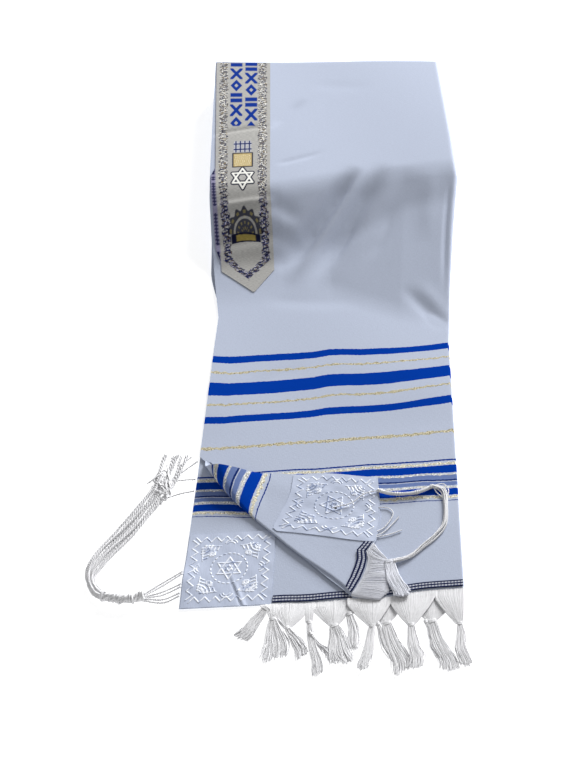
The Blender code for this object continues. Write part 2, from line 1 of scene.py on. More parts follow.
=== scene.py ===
"""A tallit prayer shawl, folded in half along its length and laid flat.

The sections follow the shawl as it is put together: its cloth, the folded rest beneath, the sewn-on
patches, neckband and braid, then its fringe and tzitzit. Sizes are in metres, and in millimetres in
the tables that say so. Each piece is drawn in the cloth's own frame, with X across from the neck
edge, Y from the hem and Z up, and is then put where the lower layer's corner lies.
"""
import math

import bpy
import numpy as np
from mathutils import Matrix, Vector


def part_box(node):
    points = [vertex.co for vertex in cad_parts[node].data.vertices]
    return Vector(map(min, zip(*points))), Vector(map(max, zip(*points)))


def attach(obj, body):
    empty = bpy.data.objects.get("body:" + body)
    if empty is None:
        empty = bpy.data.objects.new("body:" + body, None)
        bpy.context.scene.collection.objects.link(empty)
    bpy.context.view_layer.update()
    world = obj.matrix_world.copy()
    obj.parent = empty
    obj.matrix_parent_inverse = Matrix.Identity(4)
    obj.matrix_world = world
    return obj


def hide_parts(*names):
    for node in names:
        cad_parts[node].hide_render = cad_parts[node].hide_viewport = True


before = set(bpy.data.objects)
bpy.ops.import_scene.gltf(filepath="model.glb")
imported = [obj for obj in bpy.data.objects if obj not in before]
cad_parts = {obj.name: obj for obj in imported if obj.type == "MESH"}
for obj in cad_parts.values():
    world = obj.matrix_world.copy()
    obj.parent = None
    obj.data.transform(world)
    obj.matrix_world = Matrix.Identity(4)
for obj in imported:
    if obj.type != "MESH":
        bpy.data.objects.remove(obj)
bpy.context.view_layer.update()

# ================================================================ the view
# A camera above and in front of the hem, held a little on its side, looking down at the shawl.

corner = Vector(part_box("lower_layer")[0])
corner.z = 0.0
LENS_HEIGHT = 1.05109
LENS_AT = (0.326325, -0.754941)
YAW, PITCH, TILT = -0.2038, 0.7563, -0.2176
SENSOR_MM, LENS_MM = 36, 56.91

sight = Vector((math.sin(YAW) * math.cos(PITCH), math.cos(YAW) * math.cos(PITCH), -math.sin(PITCH)))
level = Vector((math.cos(YAW), -math.sin(YAW), 0))
above = level.cross(sight)
right = math.cos(TILT) * level + math.sin(TILT) * above
upward = -math.sin(TILT) * level + math.cos(TILT) * above
bpy.ops.object.camera_add(location=corner + Vector((*LENS_AT, LENS_HEIGHT)))
camera = bpy.context.object
camera.rotation_mode = "QUATERNION"
camera.rotation_quaternion = Matrix((right, upward, -sight)).transposed().to_quaternion()
camera.data.sensor_width = SENSOR_MM
camera.data.lens = LENS_MM
bpy.context.scene.camera = camera
bpy.context.scene.view_settings.view_transform = "Standard"

# ================================================================ the lower layer
# The shawl's white cloth with its woven stripes: a light plain weave, matt, with royal blue and
# grey-blue weft stripes and lines of metallic yarn. Its place in the cut is its UV map, in metres:
# U across from the neck edge and V from the hem, so that the stripes follow every fold.

# a layer with its air, a sewn-on strip, a seam, the ease under a loose layer, and the cloth itself
WALL = 0.0012
TRIM = 0.0006
SEAM = 0.0003
EASE = 0.00045
SHELL = 0.0010
FOLDED_WIDTH = 0.305
LOWER_TOP = WALL
UPPER_TOP = LOWER_TOP + 2 * SEAM + TRIM + WALL + SEAM
FOOT = 0.455
LOWER_LENGTH = 0.96 * FOOT
WEFT_RISE = 0.0060
CORNER_LIFT = 0.0030
HEM_RISE = 0.0075

ROYAL, NAVY_LINE, GREY_BLUE, DARK_NAVY = "#06389C", "#0A2F80", "#6A7CAB", "#142A66"
PALE_GOLD, BRIGHT_GOLD, SILVER = "#C3BB9F", "#DAD5C2", "#D8D8D4"
WEFT_STRIPES = (
    # from the hem and width in mm, colour: satin-faced weft stripes
    (385, 12, ROYAL), (333, 22, ROYAL), (280, 12.5, ROYAL), (186.5, 1.8, NAVY_LINE),
    (173, 10, ROYAL), (160.75, 6.5, GREY_BLUE), (156.5, 1.6, DARK_NAVY),
    (151.75, 6.5, GREY_BLUE), (140, 10, ROYAL), (126.5, 1.8, NAVY_LINE),
)
METAL_STRIPES = (
    # from the hem and width in mm, colour: metallic yarn
    (362, 3.4, PALE_GOLD), (306, 3.4, PALE_GOLD), (229.5, 4.4, PALE_GOLD), (181, 3, BRIGHT_GOLD),
    (165.5, 2.6, SILVER), (147, 2.4, SILVER), (132.5, 3.4, BRIGHT_GOLD),
)
CLOTH_WHITE, BLACK = "#B5BDCF", "#000000"
STRIPES_FROM, STRIPES_TO = 0.12, 0.40


def ease(value):
    """A soft step from 0 to 1."""
    value = np.clip(value, 0.0, 1.0)
    return value * value * (3 - 2 * value)


def mix(start, end, share):
    return start + (end - start) * share


def grid(*parts):
    """Grids of X, Y and Z, or of U and V, as one grid of points."""
    return np.stack(parts, axis=-1)


def column(rows, key, number):
    """A column of a table, read straight between its rows."""
    return np.interp(key, [row[0] for row in rows], [row[number] for row in rows])


def linear(code):
    """A hex colour as linear red, green, blue and alpha."""
    parts = [int(code[n:n + 2], 16) / 255 for n in (1, 3, 5)]
    return [c / 12.92 if c <= 0.04045 else ((c + 0.055) / 1.055) ** 2.4 for c in parts] + [1.0]


def new_material(name):
    """A material with its node tree and its Principled shader."""
    material = bpy.data.materials.new(name)
    material.use_nodes = True
    return material, material.node_tree, material.node_tree.nodes["Principled BSDF"]


def feed(tree, node, values):
    """Gives a node its values: settings, numbers for inputs, and nodes or sockets to link there."""
    for name, value in values.items():
        if isinstance(value, bpy.types.Node):
            value = value.outputs[0]
        if isinstance(value, bpy.types.NodeSocket):
            tree.links.new(value, node.inputs[name])
        elif isinstance(name, int) or name in node.inputs:
            node.inputs[name].default_value = value
        else:
            setattr(node, name, value)
    return node


def add_node(tree, kind, values):
    """Adds a shader node with its values."""
    return feed(tree, tree.nodes.new("ShaderNode" + kind), values)


def mottled(tree, colour, grain, grain_range, tone_range):
    """A colour made darker and lighter by a grain, such as the slubs of a weave."""
    tone = add_node(tree, "MapRange", {
        "From Min": grain_range[0], "From Max": grain_range[1],
        "To Min": tone_range[0], "To Max": tone_range[1], "Value": grain})
    return add_node(tree, "Mix", {"data_type": "RGBA", "blend_type": "MULTIPLY",
                                  0: 1.0, 6: colour, 7: tone}).outputs[2]


def stripe_ramp(tree, stripes, ground, place):
    """A colour ramp that holds one flat colour for each stripe, on the ground's colour."""
    ramp = add_node(tree, "ValToRGB", {"Fac": place})
    ramp.color_ramp.interpolation = "CONSTANT"
    stops = ramp.color_ramp.elements
    stops[0].position, stops[0].color = 0, linear(ground)
    stops.remove(stops[1])
    for middle, width, colour in sorted(stripes):
        for edge, shade in ((middle - width / 2, colour), (middle + width / 2, ground)):
            stop = stops.new((edge / 1000 - STRIPES_FROM) / (STRIPES_TO - STRIPES_FROM))
            stop.color = linear(shade)
    return ramp


def woven_cloth(name):
    """Plain-woven cloth: matt, finely slubbed, with blue weft stripes and metallic lines."""
    material, tree, shader = new_material(name)
    cut = add_node(tree, "UVMap", {"uv_map": "cut"})
    from_hem = add_node(tree, "SeparateXYZ", {"Vector": cut}).outputs["Y"]
    # the stripes wander a little, as a soft weave does, their edges fray, and the metallic yarn
    # bulges as it turns
    shifts = []
    for scale, detail, size in ((16, 1.5, 0.0040), (420, 1, 0.0012), (190, 0, 0.0034)):
        noise = add_node(tree, "TexNoise", {"noise_dimensions": "2D", "Scale": scale,
                                            "Detail": detail, "Vector": cut})
        shifts.append(add_node(tree, "Math", {"operation": "MULTIPLY_ADD",
                                              0: noise, 1: size, 2: -size / 2}))
    drifted = add_node(tree, "Math", {"operation": "ADD", 0: from_hem, 1: shifts[0]})
    places = []
    for shift in shifts[1:]:
        moved = add_node(tree, "Math", {"operation": "ADD", 0: drifted, 1: shift})
        places.append(add_node(tree, "MapRange", {"From Min": STRIPES_FROM, "From Max": STRIPES_TO,
                                                  "Value": moved}))
    weft = stripe_ramp(tree, WEFT_STRIPES, CLOTH_WHITE, places[0])
    metal = stripe_ramp(tree, METAL_STRIPES, BLACK, places[1])
    held = [(middle, width, "#FFFFFF") for middle, width, _ in METAL_STRIPES]
    held = stripe_ramp(tree, held, BLACK, places[1])
    # painted glints and painted shade: the metallic yarn's colour is made lighter and darker along
    # it, as it catches the light and turns from it
    painted_glint = add_node(tree, "TexNoise", {"noise_dimensions": "2D", "Scale": 620, "Detail": 2,
                                        "Vector": cut})
    yarn = mottled(tree, metal, painted_glint, (0.3, 0.7), (0.30, 1.45))
    striped = add_node(tree, "Mix", {"data_type": "RGBA", 0: held, 6: weft, 7: yarn}).outputs[2]
    # slubs: short thick places in the warp and weft yarns, and a soft mottle
    slubs = []
    for stretch in ((260, 1500, 1), (1500, 260, 1)):
        drawn = add_node(tree, "Mapping", {"Scale": stretch, "Vector": cut})
        slubs.append(add_node(tree, "TexNoise", {"noise_dimensions": "2D", "Scale": 1.0,
                                                 "Detail": 2, "Vector": drawn}))
    weave = add_node(tree, "Math", {"operation": "ADD", 0: slubs[0], 1: slubs[1]})
    raised = add_node(tree, "Math", {"operation": "MULTIPLY_ADD", 0: held, 1: 0.6, 2: weave})
    bump = add_node(tree, "Bump", {"Strength": 0.35, "Distance": 0.0004, "Height": raised})
    feed(tree, shader, {"Roughness": 0.9, "Specular IOR Level": 0.0, "Normal": bump,
                        "Base Color": mottled(tree, striped, weave, (0.7, 1.3), (0.95, 1.03))})
    return material


def lay_sheet(name, places, cut, thickness, material, marks=None, backed=True):
    """Lays a grid of cloth through rows of places, with its place in the cut as its UV map.

    Marks are values for each place, such as a woven colour, that the material reads.
    """
    rows, columns = places.shape[:2]
    bpy.ops.object.select_all(action="DESELECT")
    bpy.ops.mesh.primitive_grid_add(x_subdivisions=columns - 1, y_subdivisions=rows - 1, size=1)
    piece = bpy.context.object
    piece.name = piece.data.name = name
    mesh = piece.data
    flat = np.empty(len(mesh.vertices) * 3)
    mesh.vertices.foreach_get("co", flat)
    flat = flat.reshape(-1, 3)
    across = np.rint((flat[:, 0] + 0.5) * (columns - 1)).astype(int)
    along = np.rint((flat[:, 1] + 0.5) * (rows - 1)).astype(int)
    mesh.vertices.foreach_set("co", (places[along, across] + np.array(corner)).reshape(-1))
    ends = np.empty(len(mesh.loops), dtype=int)
    mesh.loops.foreach_get("vertex_index", ends)
    mesh.uv_layers[0].name = "cut"
    mesh.uv_layers[0].data.foreach_set("uv", cut[along, across][ends].reshape(-1))
    mesh.materials.append(material)
    for mark, values in (marks or {}).items():
        kind, field = ("FLOAT_COLOR", "color") if values.ndim == 3 else ("FLOAT", "value")
        layer = mesh.attributes.new(mark, kind, "POINT")
        layer.data.foreach_set(field, values[along, across].reshape(-1))
    if thickness:
        wall = piece.modifiers.new("Wall", "SOLIDIFY")
        wall.thickness = thickness
        wall.offset = -1
        wall.use_rim_only = not backed
        bpy.ops.object.modifier_apply(modifier=wall.name)
    bpy.ops.object.shade_smooth_by_angle(angle=math.radians(50))
    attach(piece, "root")
    return piece


def lifted(places, height):
    """A grid of places, raised by a height."""
    raised = places.copy()
    raised[..., 2] += height
    return raised


def corner_lift(x, y):
    """The lower corner is lifted a little by the tzitzit's loops, which pass under its edge."""
    return CORNER_LIFT * np.exp(-((np.maximum(x, 0) / 0.020) ** 2) - ((y - 0.036) / 0.022) ** 2)


def hem_rise(x, y):
    """How far the hem is drawn up: most at its right end, with a small waver along it."""
    waver = 0.0008 * np.sin(x / 0.0125) * ease((x - 0.10) / 0.03)
    return (HEM_RISE * ease((x - 0.205) / 0.095) + waver) * (1 - ease(y / 0.06))


def lower_top(x, y):
    """The lower layer's outer face."""
    swell = 0.0002 * np.sin(x / 0.021 + y / 0.034)
    return grid(x, y + hem_rise(x, y), LOWER_TOP + corner_lift(x, y) + swell)


cloth = woven_cloth("Plain-woven cloth, striped")
x, y = np.meshgrid(np.linspace(0, FOLDED_WIDTH - 2 * WALL, 110), np.linspace(0, LOWER_LENGTH, 160))
woven = y + WEFT_RISE * ease(x / 0.075)
lower = lay_sheet("lower_cloth", lower_top(x, y), grid(x, woven), SHELL, cloth)
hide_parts("lower_layer")

# ================================================================ the upper layer
# The other half of the same cloth. It lies on the lower layer, climbs the folded rest and runs over
# it to the back, and rounds down into the lengthwise fold at its right edge. Where it climbs, the
# doubled cloth buckles into slanting troughs.

STACK_TOP = 0.055
SHOULDER = 0.701
BACK = 1.031
BACK_ROUND = 0.012
FOLD_DROP_LOW = 0.0030
FOLD_DROP_HIGH = 0.0100
HEM_TURN = 0.184
NECK_TURN = 0.208
ROLL_AT_HEM = 0.0015
ROLL_AT_NECK = 0.0112
ROLL_SHIFT = 0.6
TURN_LENGTH = math.hypot(HEM_TURN, NECK_TURN)
AWAY_X, AWAY_Y = NECK_TURN / TURN_LENGTH, HEM_TURN / TURN_LENGTH

EDGES = (
    # along, left_x, left_y, right_x, right_y: where the two long edges lie, from hem to back
    (0.000, 0.000, 0.000, 0.305, 0.000),
    (0.300, 0.000, 0.300, 0.305, 0.300),
    (0.400, -0.001, 0.408, 0.305, 0.388),
    (FOOT, -0.001, 0.471, 0.308, 0.440),
    (0.500, -0.008, 0.515, 0.311, 0.485),
    (0.553, -0.016, 0.570, 0.316, 0.536),
    (0.605, -0.020, 0.622, 0.321, 0.588),
    (0.650, -0.023, 0.669, 0.326, 0.631),
    (SHOULDER, -0.028, 0.724, 0.332, 0.679),
    (0.800, -0.035, 0.822, 0.328, 0.778),
    (BACK, -0.053, 1.079, 0.315, 0.998),
)
CLIMB = (
    # across, foot, knee, top, share: how the cloth climbs the folded rest, by places along it
    (0.00, 0.490, 0.562, 0.676, 0.10),
    (0.30, 0.500, 0.566, 0.676, 0.10),
    (0.50, 0.506, 0.592, 0.694, 0.28),
    (0.65, 0.478, 0.612, 0.698, 0.40),
    (0.80, 0.456, 0.648, 0.712, 0.62),
    (1.00, 0.446, 0.662, 0.718, 0.72),
)
FOLD_BEND = (
    # share of the way to the neck edge, bend in mm: how the turned corner's fold wanders
    (-0.05, 5), (0, 3), (0.12, 1), (0.29, -1.4), (0.42, -2.6), (0.58, -4.8), (0.7, -5), (0.8, -3.4),
    (0.91, 1), (1, 4),
)
STRIPE_SAG = (
    # share of the way across, sag in mm: how far the upper stripes wander to the hem
    (0, 2.6), (0.08, 5.4), (0.2, 4.4), (0.36, 5), (0.44, 3.4), (0.5, 0.8), (0.56, 1.2), (0.64, 3.4),
    (0.76, 3.2), (0.84, 1.4), (0.92, -1.4), (1, -5),
)
CREASES = (
    # start_x, start_y, middle_x, middle_y, end_x, end_y, width, depth in mm: soft troughs in the
    # upper layer, each through three places (a depth below 0 is a ridge)
    (196, 720, 144, 645, 78, 545, 15, 11.2), (206, 714, 158, 632, 90, 518, 10, -4.4),
    (238, 720, 180, 628, 120, 510, 16, 8.8), (262, 706, 214, 625, 172, 545, 15, -1.2),
    (46, 680, 78, 656, 112, 626, 13, 1.8), (50, 652, 82, 632, 114, 608, 11, -0.8),
    (50, 618, 84, 604, 116, 582, 14, 1.3), (262, 712, 242, 660, 205, 590, 18, 1.4),
    (326, 676, 314, 590, 304, 460, 2.8, 1.9), (300, 705, 294, 640, 284, 560, 14, -1.4),
    (-30, 664, 22, 666, 84, 664, 7, -3), (-32, 606, 24, 612, 86, 616, 11, 3.6),
    (246, 500, 279, 449, 307, 408, 9, 1.8), (266, 506, 296, 455, 319, 416, 9, -0.8),
    (52, 840, 78, 880, 108, 925, 10, 1.6), (-45, 842, 8, 847, 68, 852, 6, 1.6),
    (66, 745, 100, 752, 150, 770, 6, 0.9),
)
WRINKLES = (
    # the same, for small ones
    (190, 640, 170, 590, 150, 545, 5, 0.8), (240, 640, 226, 590, 200, 545, 7, 0.8),
    (50, 505, 120, 485, 200, 475, 12, 0.6), (110, 965, 160, 945, 220, 930, 14, 0.4),
    (40, 330, 80, 345, 130, 365, 12, 0.5), (170, 300, 220, 310, 270, 335, 14, 0.5),
)


def nearest(x, y, line):
    """How far each place is from a line of points, and its share of the way along the line."""
    near, at = np.full(x.shape, 9.0), np.zeros(x.shape)
    for n, ((x0, y0), (x1, y1)) in enumerate(zip(line, line[1:])):
        run_x, run_y = x1 - x0, y1 - y0
        share = np.clip(((x - x0) * run_x + (y - y0) * run_y) / (run_x**2 + run_y**2), 0, 1)
        off = np.hypot(x - x0 - share * run_x, y - y0 - share * run_y)
        at = np.where(off < near, (n + share) / (len(line) - 1), at)
        near = np.minimum(near, off)
    return near, at


def pressed(table, x, y):
    """The total depth of a table's creases at each place. Each fades out at both its ends."""
    total = np.zeros(x.shape)
    t = np.linspace(0, 1, 13)
    bent = np.array([(1 - t) * (1 - 2 * t), 4 * t * (1 - t), -t * (1 - 2 * t)])
    for *ways, width, depth in np.array(table) / 1000:
        near, at = nearest(x, y, grid(ways[0::2] @ bent, ways[1::2] @ bent))
        total += depth * np.exp(-((near / width) ** 2)) * ease(at / 0.35) * ease((1 - at) / 0.35)
    return total


def soft_ramp(past, soft):
    """A ramp that starts at 0 and bends softly over a length each way."""
    return np.where(np.abs(past) < soft, (past + soft) ** 2 / (4 * soft), np.maximum(past, 0.0))


def rise(along, across):
    """How far the folded rest lifts the upper layer: gently to a knee, then steeply to its top."""
    foot, knee, top, low = (column(CLIMB, across, number) for number in (1, 2, 3, 4))
    gentle, steep = low / (knee - foot), (1 - low) / (top - knee)
    share = (gentle * soft_ramp(along - foot, 0.020) - steep * soft_ramp(along - top, 0.019)
             + (steep - gentle) * soft_ramp(along - knee, 0.012))
    return (STACK_TOP - UPPER_TOP) * share


def upper_top(across, along):
    """The upper layer's outer face, across from 0 at the neck edge to 1 at the fold."""
    x = mix(column(EDGES, along, 1), column(EDGES, along, 3), across)
    y = mix(column(EDGES, along, 2), column(EDGES, along, 4), across)
    y = y + hem_rise(x, along)
    lying = ease((along - 0.24) / 0.08)
    ripple = 0.0010 + 0.0010 * np.sin(x / 0.048 + y / 0.11)
    lift = rise(along, across)
    depth = np.minimum(pressed(CREASES, x, y), lift + 0.4 * ripple * lying)
    return grid(x, y, UPPER_TOP + lift + lying * (ripple - pressed(WRINKLES, x, y)) - depth)


def roll_at(share):
    """The radius of the turned corner's roll, along its fold from the hem to the neck edge."""
    return mix(ROLL_AT_HEM, ROLL_AT_NECK, ease((share - 0.56) / 0.42))


def neck_side(along):
    """Where a row of the upper layer starts: at the turned corner's fold, or at the neck edge."""
    share = along / NECK_TURN
    bend = column(FOLD_BEND, share, 1) / 1000 * (share < 1)
    start = HEM_TURN * (1 - share) + (ROLL_SHIFT * roll_at(share) + SEAM + bend) / AWAY_X
    return np.maximum(start, 0.0) / FOLDED_WIDTH


fold_turn = np.linspace(0, math.radians(115), 7)[1:]
back_turn = np.linspace(0, math.radians(112), 7)[1:, None]
share, along = np.meshgrid(np.linspace(0, 1, 125), np.linspace(0, BACK - BACK_ROUND, 330))
across = mix(neck_side(along), 1.0, share)
top = upper_top(across, along)
sag = column(STRIPE_SAG, across, 1) / 1000 * ease((along - 0.19) / 0.12)
cut = grid(across * FOLDED_WIDTH, along + sag)
# round the lengthwise fold down at the right
reach = mix(FOLD_DROP_LOW, FOLD_DROP_HIGH, rise(along[:, :1], 1.0) / (STACK_TOP - UPPER_TOP)) * 0.5
turned_down = np.repeat(top[:, -1:], len(fold_turn), axis=1)
top[..., 0] -= reach * share**6
turned_down[..., 0] -= reach * (1 - np.sin(fold_turn))
turned_down[..., 2] -= reach * (1 - np.cos(fold_turn)) * 1.4
turned_cut = grid(FOLDED_WIDTH + reach * fold_turn, along[:, :1] + 0 * fold_turn)
top = np.concatenate([top, turned_down], axis=1)
cut = np.concatenate([cut, turned_cut], axis=1)
# round the back down over the folded rest
rounded = np.repeat(top[-1:], len(back_turn), axis=0)
rounded[..., 1] += BACK_ROUND * np.sin(back_turn)
rounded[..., 2] -= BACK_ROUND * (1 - np.cos(back_turn)) * 1.4
rounded_cut = np.repeat(cut[-1:], len(back_turn), axis=0)
rounded_cut[..., 1] += BACK_ROUND * back_turn
top = np.concatenate([top, rounded], axis=0)
cut = np.concatenate([cut, rounded_cut], axis=0)
upper = lay_sheet("upper_cloth", top, cut, SHELL, cloth)
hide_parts("upper_layer")

# ================================================================ the turned corner
# The upper layer's corner, turned back over it along a slanting fold. The fold is pressed flat at
# the hem and stands up in an open roll at the neck edge. What shows is the cloth's other face.

TURN_SKEW = 0.015
TURN_PUSH = 0.002
TURN_TIP = 0.0045
TURN_NECK = 0.0065
WEAVE_SHIFT = 0.0105
HEM_BEND = (
    # u, bend in mm: how the turned hem wanders
    (0, 0), (30, 5.5), (60, 10), (92, 9.8), (107, 2), (120, 6), (137, 8.5), (155, 9.5), (170, 7.5),
    (184, 2),
)
TURN_DEPTH = HEM_TURN * NECK_TURN / TURN_LENGTH


def turned(u, v, lift=0.0):
    """The outer face of the turned corner, at u from the neck edge and v from the hem."""
    depth = TURN_DEPTH - (u * AWAY_X + v * AWAY_Y)
    along = (HEM_TURN - u) * AWAY_Y + v * AWAY_X
    share = along / TURN_LENGTH
    roll = roll_at(share)
    angle = np.clip(depth / roll, 0, math.pi)
    past = np.maximum(depth - math.pi * roll, 0)
    settle = 1 - ease(past / (0.012 + 5 * roll))
    base = UPPER_TOP - WALL
    laid = mix(UPPER_TOP + EASE + WALL, base + 2 * roll, settle) + lift
    curled = base + roll - (roll + lift) * np.cos(angle)
    height = np.where(past > 0, laid, curled)
    reach = np.where(past > 0, past, -(roll + lift) * np.sin(angle))
    away = ease(depth / 0.06)
    bend = column(FOLD_BEND, share, 1) / 1000 * (1 - ease((depth - 0.02) / 0.08))
    bow = column(HEM_BEND, u * 1000, 1) / 1000 * (1 - ease(v / 0.09))
    pulled = (TURN_NECK * ease((v - 0.085) / 0.03) * (1 - ease(u / 0.05)) * ease(depth / 0.03)
              - TURN_TIP * (1 - ease(v / 0.07)) * away)
    out = reach + ROLL_SHIFT * roll + TURN_PUSH * away + bend
    slid = along - TURN_SKEW * away
    pucker = 0.0005 * np.sin(u / 0.013 + 0.6 * np.sin(v / 0.02)) * ease((depth - 0.03) / 0.03)
    return grid(HEM_TURN - AWAY_Y * slid + AWAY_X * out + bow,
                AWAY_X * slid + AWAY_Y * out + pulled, height + pucker)


depths = np.concatenate([np.linspace(0, 0.040, 34),
                         np.linspace(0.040, TURN_DEPTH - 0.0010, 80)[1:]])
share, depth = np.meshgrid(np.linspace(1, 0, 130), depths)
left = 1 - depth / TURN_DEPTH
u, v = HEM_TURN * left * (1 - share), NECK_TURN * left * share
woven = v + WEAVE_SHIFT + 0.0050 * ease((v - 0.135) / 0.035)
corner_cloth = lay_sheet("turned_cloth", turned(u, v), grid(u, woven), SHELL, cloth)
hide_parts("turned_corner")

# ================================================================ the folded rest
# The rest of the shawl's length, folded up in loose passes under the upper part. Only the passes'
# soft edges show, one on the other, at the neck edge, at the lengthwise fold and at the back.

PASS_OUT = (
    # how far in mm each pass, from the top down, stands out at the left, the back and the right
    (-1, -5, -6), (2, -4.5, 1), (-2, -5, -1), (3.5, -1, 2), (0.5, -2.5, -0.5),
)


def folded_passes():
    """A closed pillow round a line along its middle: over the top, down the edges, and under."""
    front, back = FOOT + 0.001, BACK - 0.010
    ways = (
        # from and to, across and along, and how many places: left, back, right and front
        (0.012, 0.012, front, back, 150),
        (0.012, 0.972, BACK - 0.004, BACK - 0.004, 90),
        (0.972, 0.972, back, front, 150),
        (0.950, 0.030, FOOT + 0.0008, FOOT + 0.0008, 40),
        (0.012, 0.012, front, front, 1),
    )
    a = np.concatenate([np.linspace(start, end, count) for start, end, _, _, count in ways])
    s = np.concatenate([np.linspace(start, end, count) for _, _, start, end, count in ways])

    def inward(share):
        return upper_top(mix(0.5, a, share), mix(np.clip(s, FOOT + 0.02, BACK - 0.14), s, share))

    def under_cloth(place):
        place[..., 2] = np.maximum(place[..., 2] - 2.6 * EASE - WALL, 0.0009)
        return place

    rim = under_cloth(upper_top(a, s))
    ahead = np.roll(rim[:-1], -1, axis=0) - np.roll(rim[:-1], 1, axis=0)
    outward = grid(-ahead[:, 1], ahead[:, 0])
    outward = np.concatenate([outward, outward[:1]])
    for _ in range(6):
        outward[1:-1] = (outward[:-2] + outward[1:-1] + outward[2:]) / 3
    outward /= np.linalg.norm(outward, axis=1)[:, None]
    grown = ease((s - FOOT) / 0.10)
    run = np.arange(len(a)) * 0.0037
    rows = [under_cloth(inward(share)) for share in np.linspace(0.0, 1.0, 12)[:-1]]
    side = np.interp(np.arange(len(a)), [0, 145, 155, 235, 245, len(a)], [0, 0, 1, 1, 2, 2])
    tall = rim[:, 2]
    thick = tall / len(PASS_OUT)
    for number, stands in enumerate(PASS_OUT):
        out = np.interp(side, [0, 1, 2], stands) / 1000
        out = out + 0.0009 * np.sin(run / (0.031 + 0.007 * number) + 2.1 * number)
        for turn in np.linspace(0, math.pi, 9)[:-1]:
            bulge = out - 0.0042 * (1 - np.sin(turn)) ** 1.5
            layers = 0.0004 * math.cos(turn * 6) * (0.3 < turn < 2.9)
            row = rim.copy()
            row[:, :2] += outward * ((0.0047 + bulge + layers) * grown)[:, None]
            row[:, 2] = tall - thick * number - thick * (1 - math.cos(turn)) / 2
            rows.append(row)
    foot = rim.copy()
    foot[:, :2] -= outward * (0.002 * grown)[:, None]
    for row in (foot, inward(0.5), inward(0.0)):
        row[:, 2] = 0.0
        rows.append(row)
    return np.stack(rows), run


places, run = folded_passes()
turn, climb = np.meshgrid(run, np.linspace(0.50, 0.80, len(places)))
passes = lay_sheet("folded_passes", places, grid(turn, climb), 0, cloth)
bpy.ops.object.mode_set(mode="EDIT")
bpy.ops.mesh.select_all(action="SELECT")
bpy.ops.mesh.remove_doubles(threshold=0.00002)
bpy.ops.mesh.normals_make_consistent(inside=False)
bpy.ops.object.mode_set(mode="OBJECT")
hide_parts("folded_rest")

# ================================================================ the corner patches
# A square of polyester satin on each corner, with a raised pattern in shiny white thread. Its
# motifs are the shawl trade's common ones in a plain arrangement: a zigzag frame, a six-pointed
# star in a ring of dots, fans, arcs and sprigs.

PATCH_SIDE = 0.101
PATCH_INSET = 0.001
STAR_RADIUS = 0.0150
FRAME_INSET = 0.0095
SATIN_WHITE = "#B7C0D5"
THREAD_WHITE = "#EDF1FA"
# the thread's painted shade, where its floats turn from the light
THREAD_PAINTED_SHADE = "#8593B4"
EYELET_PAINTED_SHADE = "#15161F"
THREAD_HEIGHT = 0.0003


def ring_of(centre, radius, start, end, count):
    """Points along an arc, its angles in degrees."""
    turn = np.radians(np.linspace(start, end, count))
    return grid(centre[0] + radius * np.cos(turn), centre[1] + radius * np.sin(turn))


def within(far, edge, soft):
    """1 where a distance is within an edge, and softly 0 beyond it."""
    return 1 - ease((far - edge) / soft)


def stitched(x, y, runs):
    """How much raised thread lies on each place, from runs of (points of a line, thread width)."""
    found = np.zeros(x.shape)
    for line, width in runs:
        found = np.maximum(found, within(nearest(x, y, line)[0] / width, 0.24, 0.52))
    return found


def patch_pattern():
    """The runs of thread on a patch, in metres from its corner."""
    middle = PATCH_SIDE / 2
    # one side's zigzag frame, fan, sprigs, small squares and arcs, then the same on the other three
    steps = np.linspace(FRAME_INSET, PATCH_SIDE - FRAME_INSET, 15)
    side = [(grid(steps, FRAME_INSET + 0.0034 * (np.arange(15) % 2 * 2 - 1)), 0.0014)]
    side += [(ring_of((middle, 0.0180), r, 200, 340, 14), 0.0012) for r in (0.0040, 0.0070)]
    for way in (-1, 1):
        for n in range(4):
            x, tall = middle + way * (0.0130 + 0.0046 * n), 0.0050 + 0.0012 * (n % 2)
            side.append(([(x, 0.0195), (x + way * 0.0022, 0.0195 + tall)], 0.0014))
        side.append(([(middle + way * 0.0110, 0.0195), (middle + way * 0.0300, 0.0180)], 0.0010))
        side.append((ring_of((middle + way * 0.0210, 0.0310), 0.0030, 45, 405, 5), 0.0012))
    side += [(ring_of((0.0175, 0.0175), r, 0, 90, 10), 0.0013) for r in (0.0045, 0.0080, 0.0115)]
    runs = []
    for turn in np.radians((0, 90, 180, 270)):
        spun = np.array([[math.cos(turn), -math.sin(turn)], [math.sin(turn), math.cos(turn)]])
        runs += [((np.array(line) - middle) @ spun.T + middle, width) for line, width in side]
    # the star: two triangles, with a small one in it and a ring of dots round it
    for radius, width in ((STAR_RADIUS, 0.0015), (0.0045, 0.0010)):
        for start in (90, 270):
            runs.append((ring_of((middle, middle), radius, start, start + 360, 4), width))
    for start in range(0, 360, 15):
        runs.append((ring_of((middle, middle), 0.0205, start, start + 5, 2), 0.0013))
    return runs


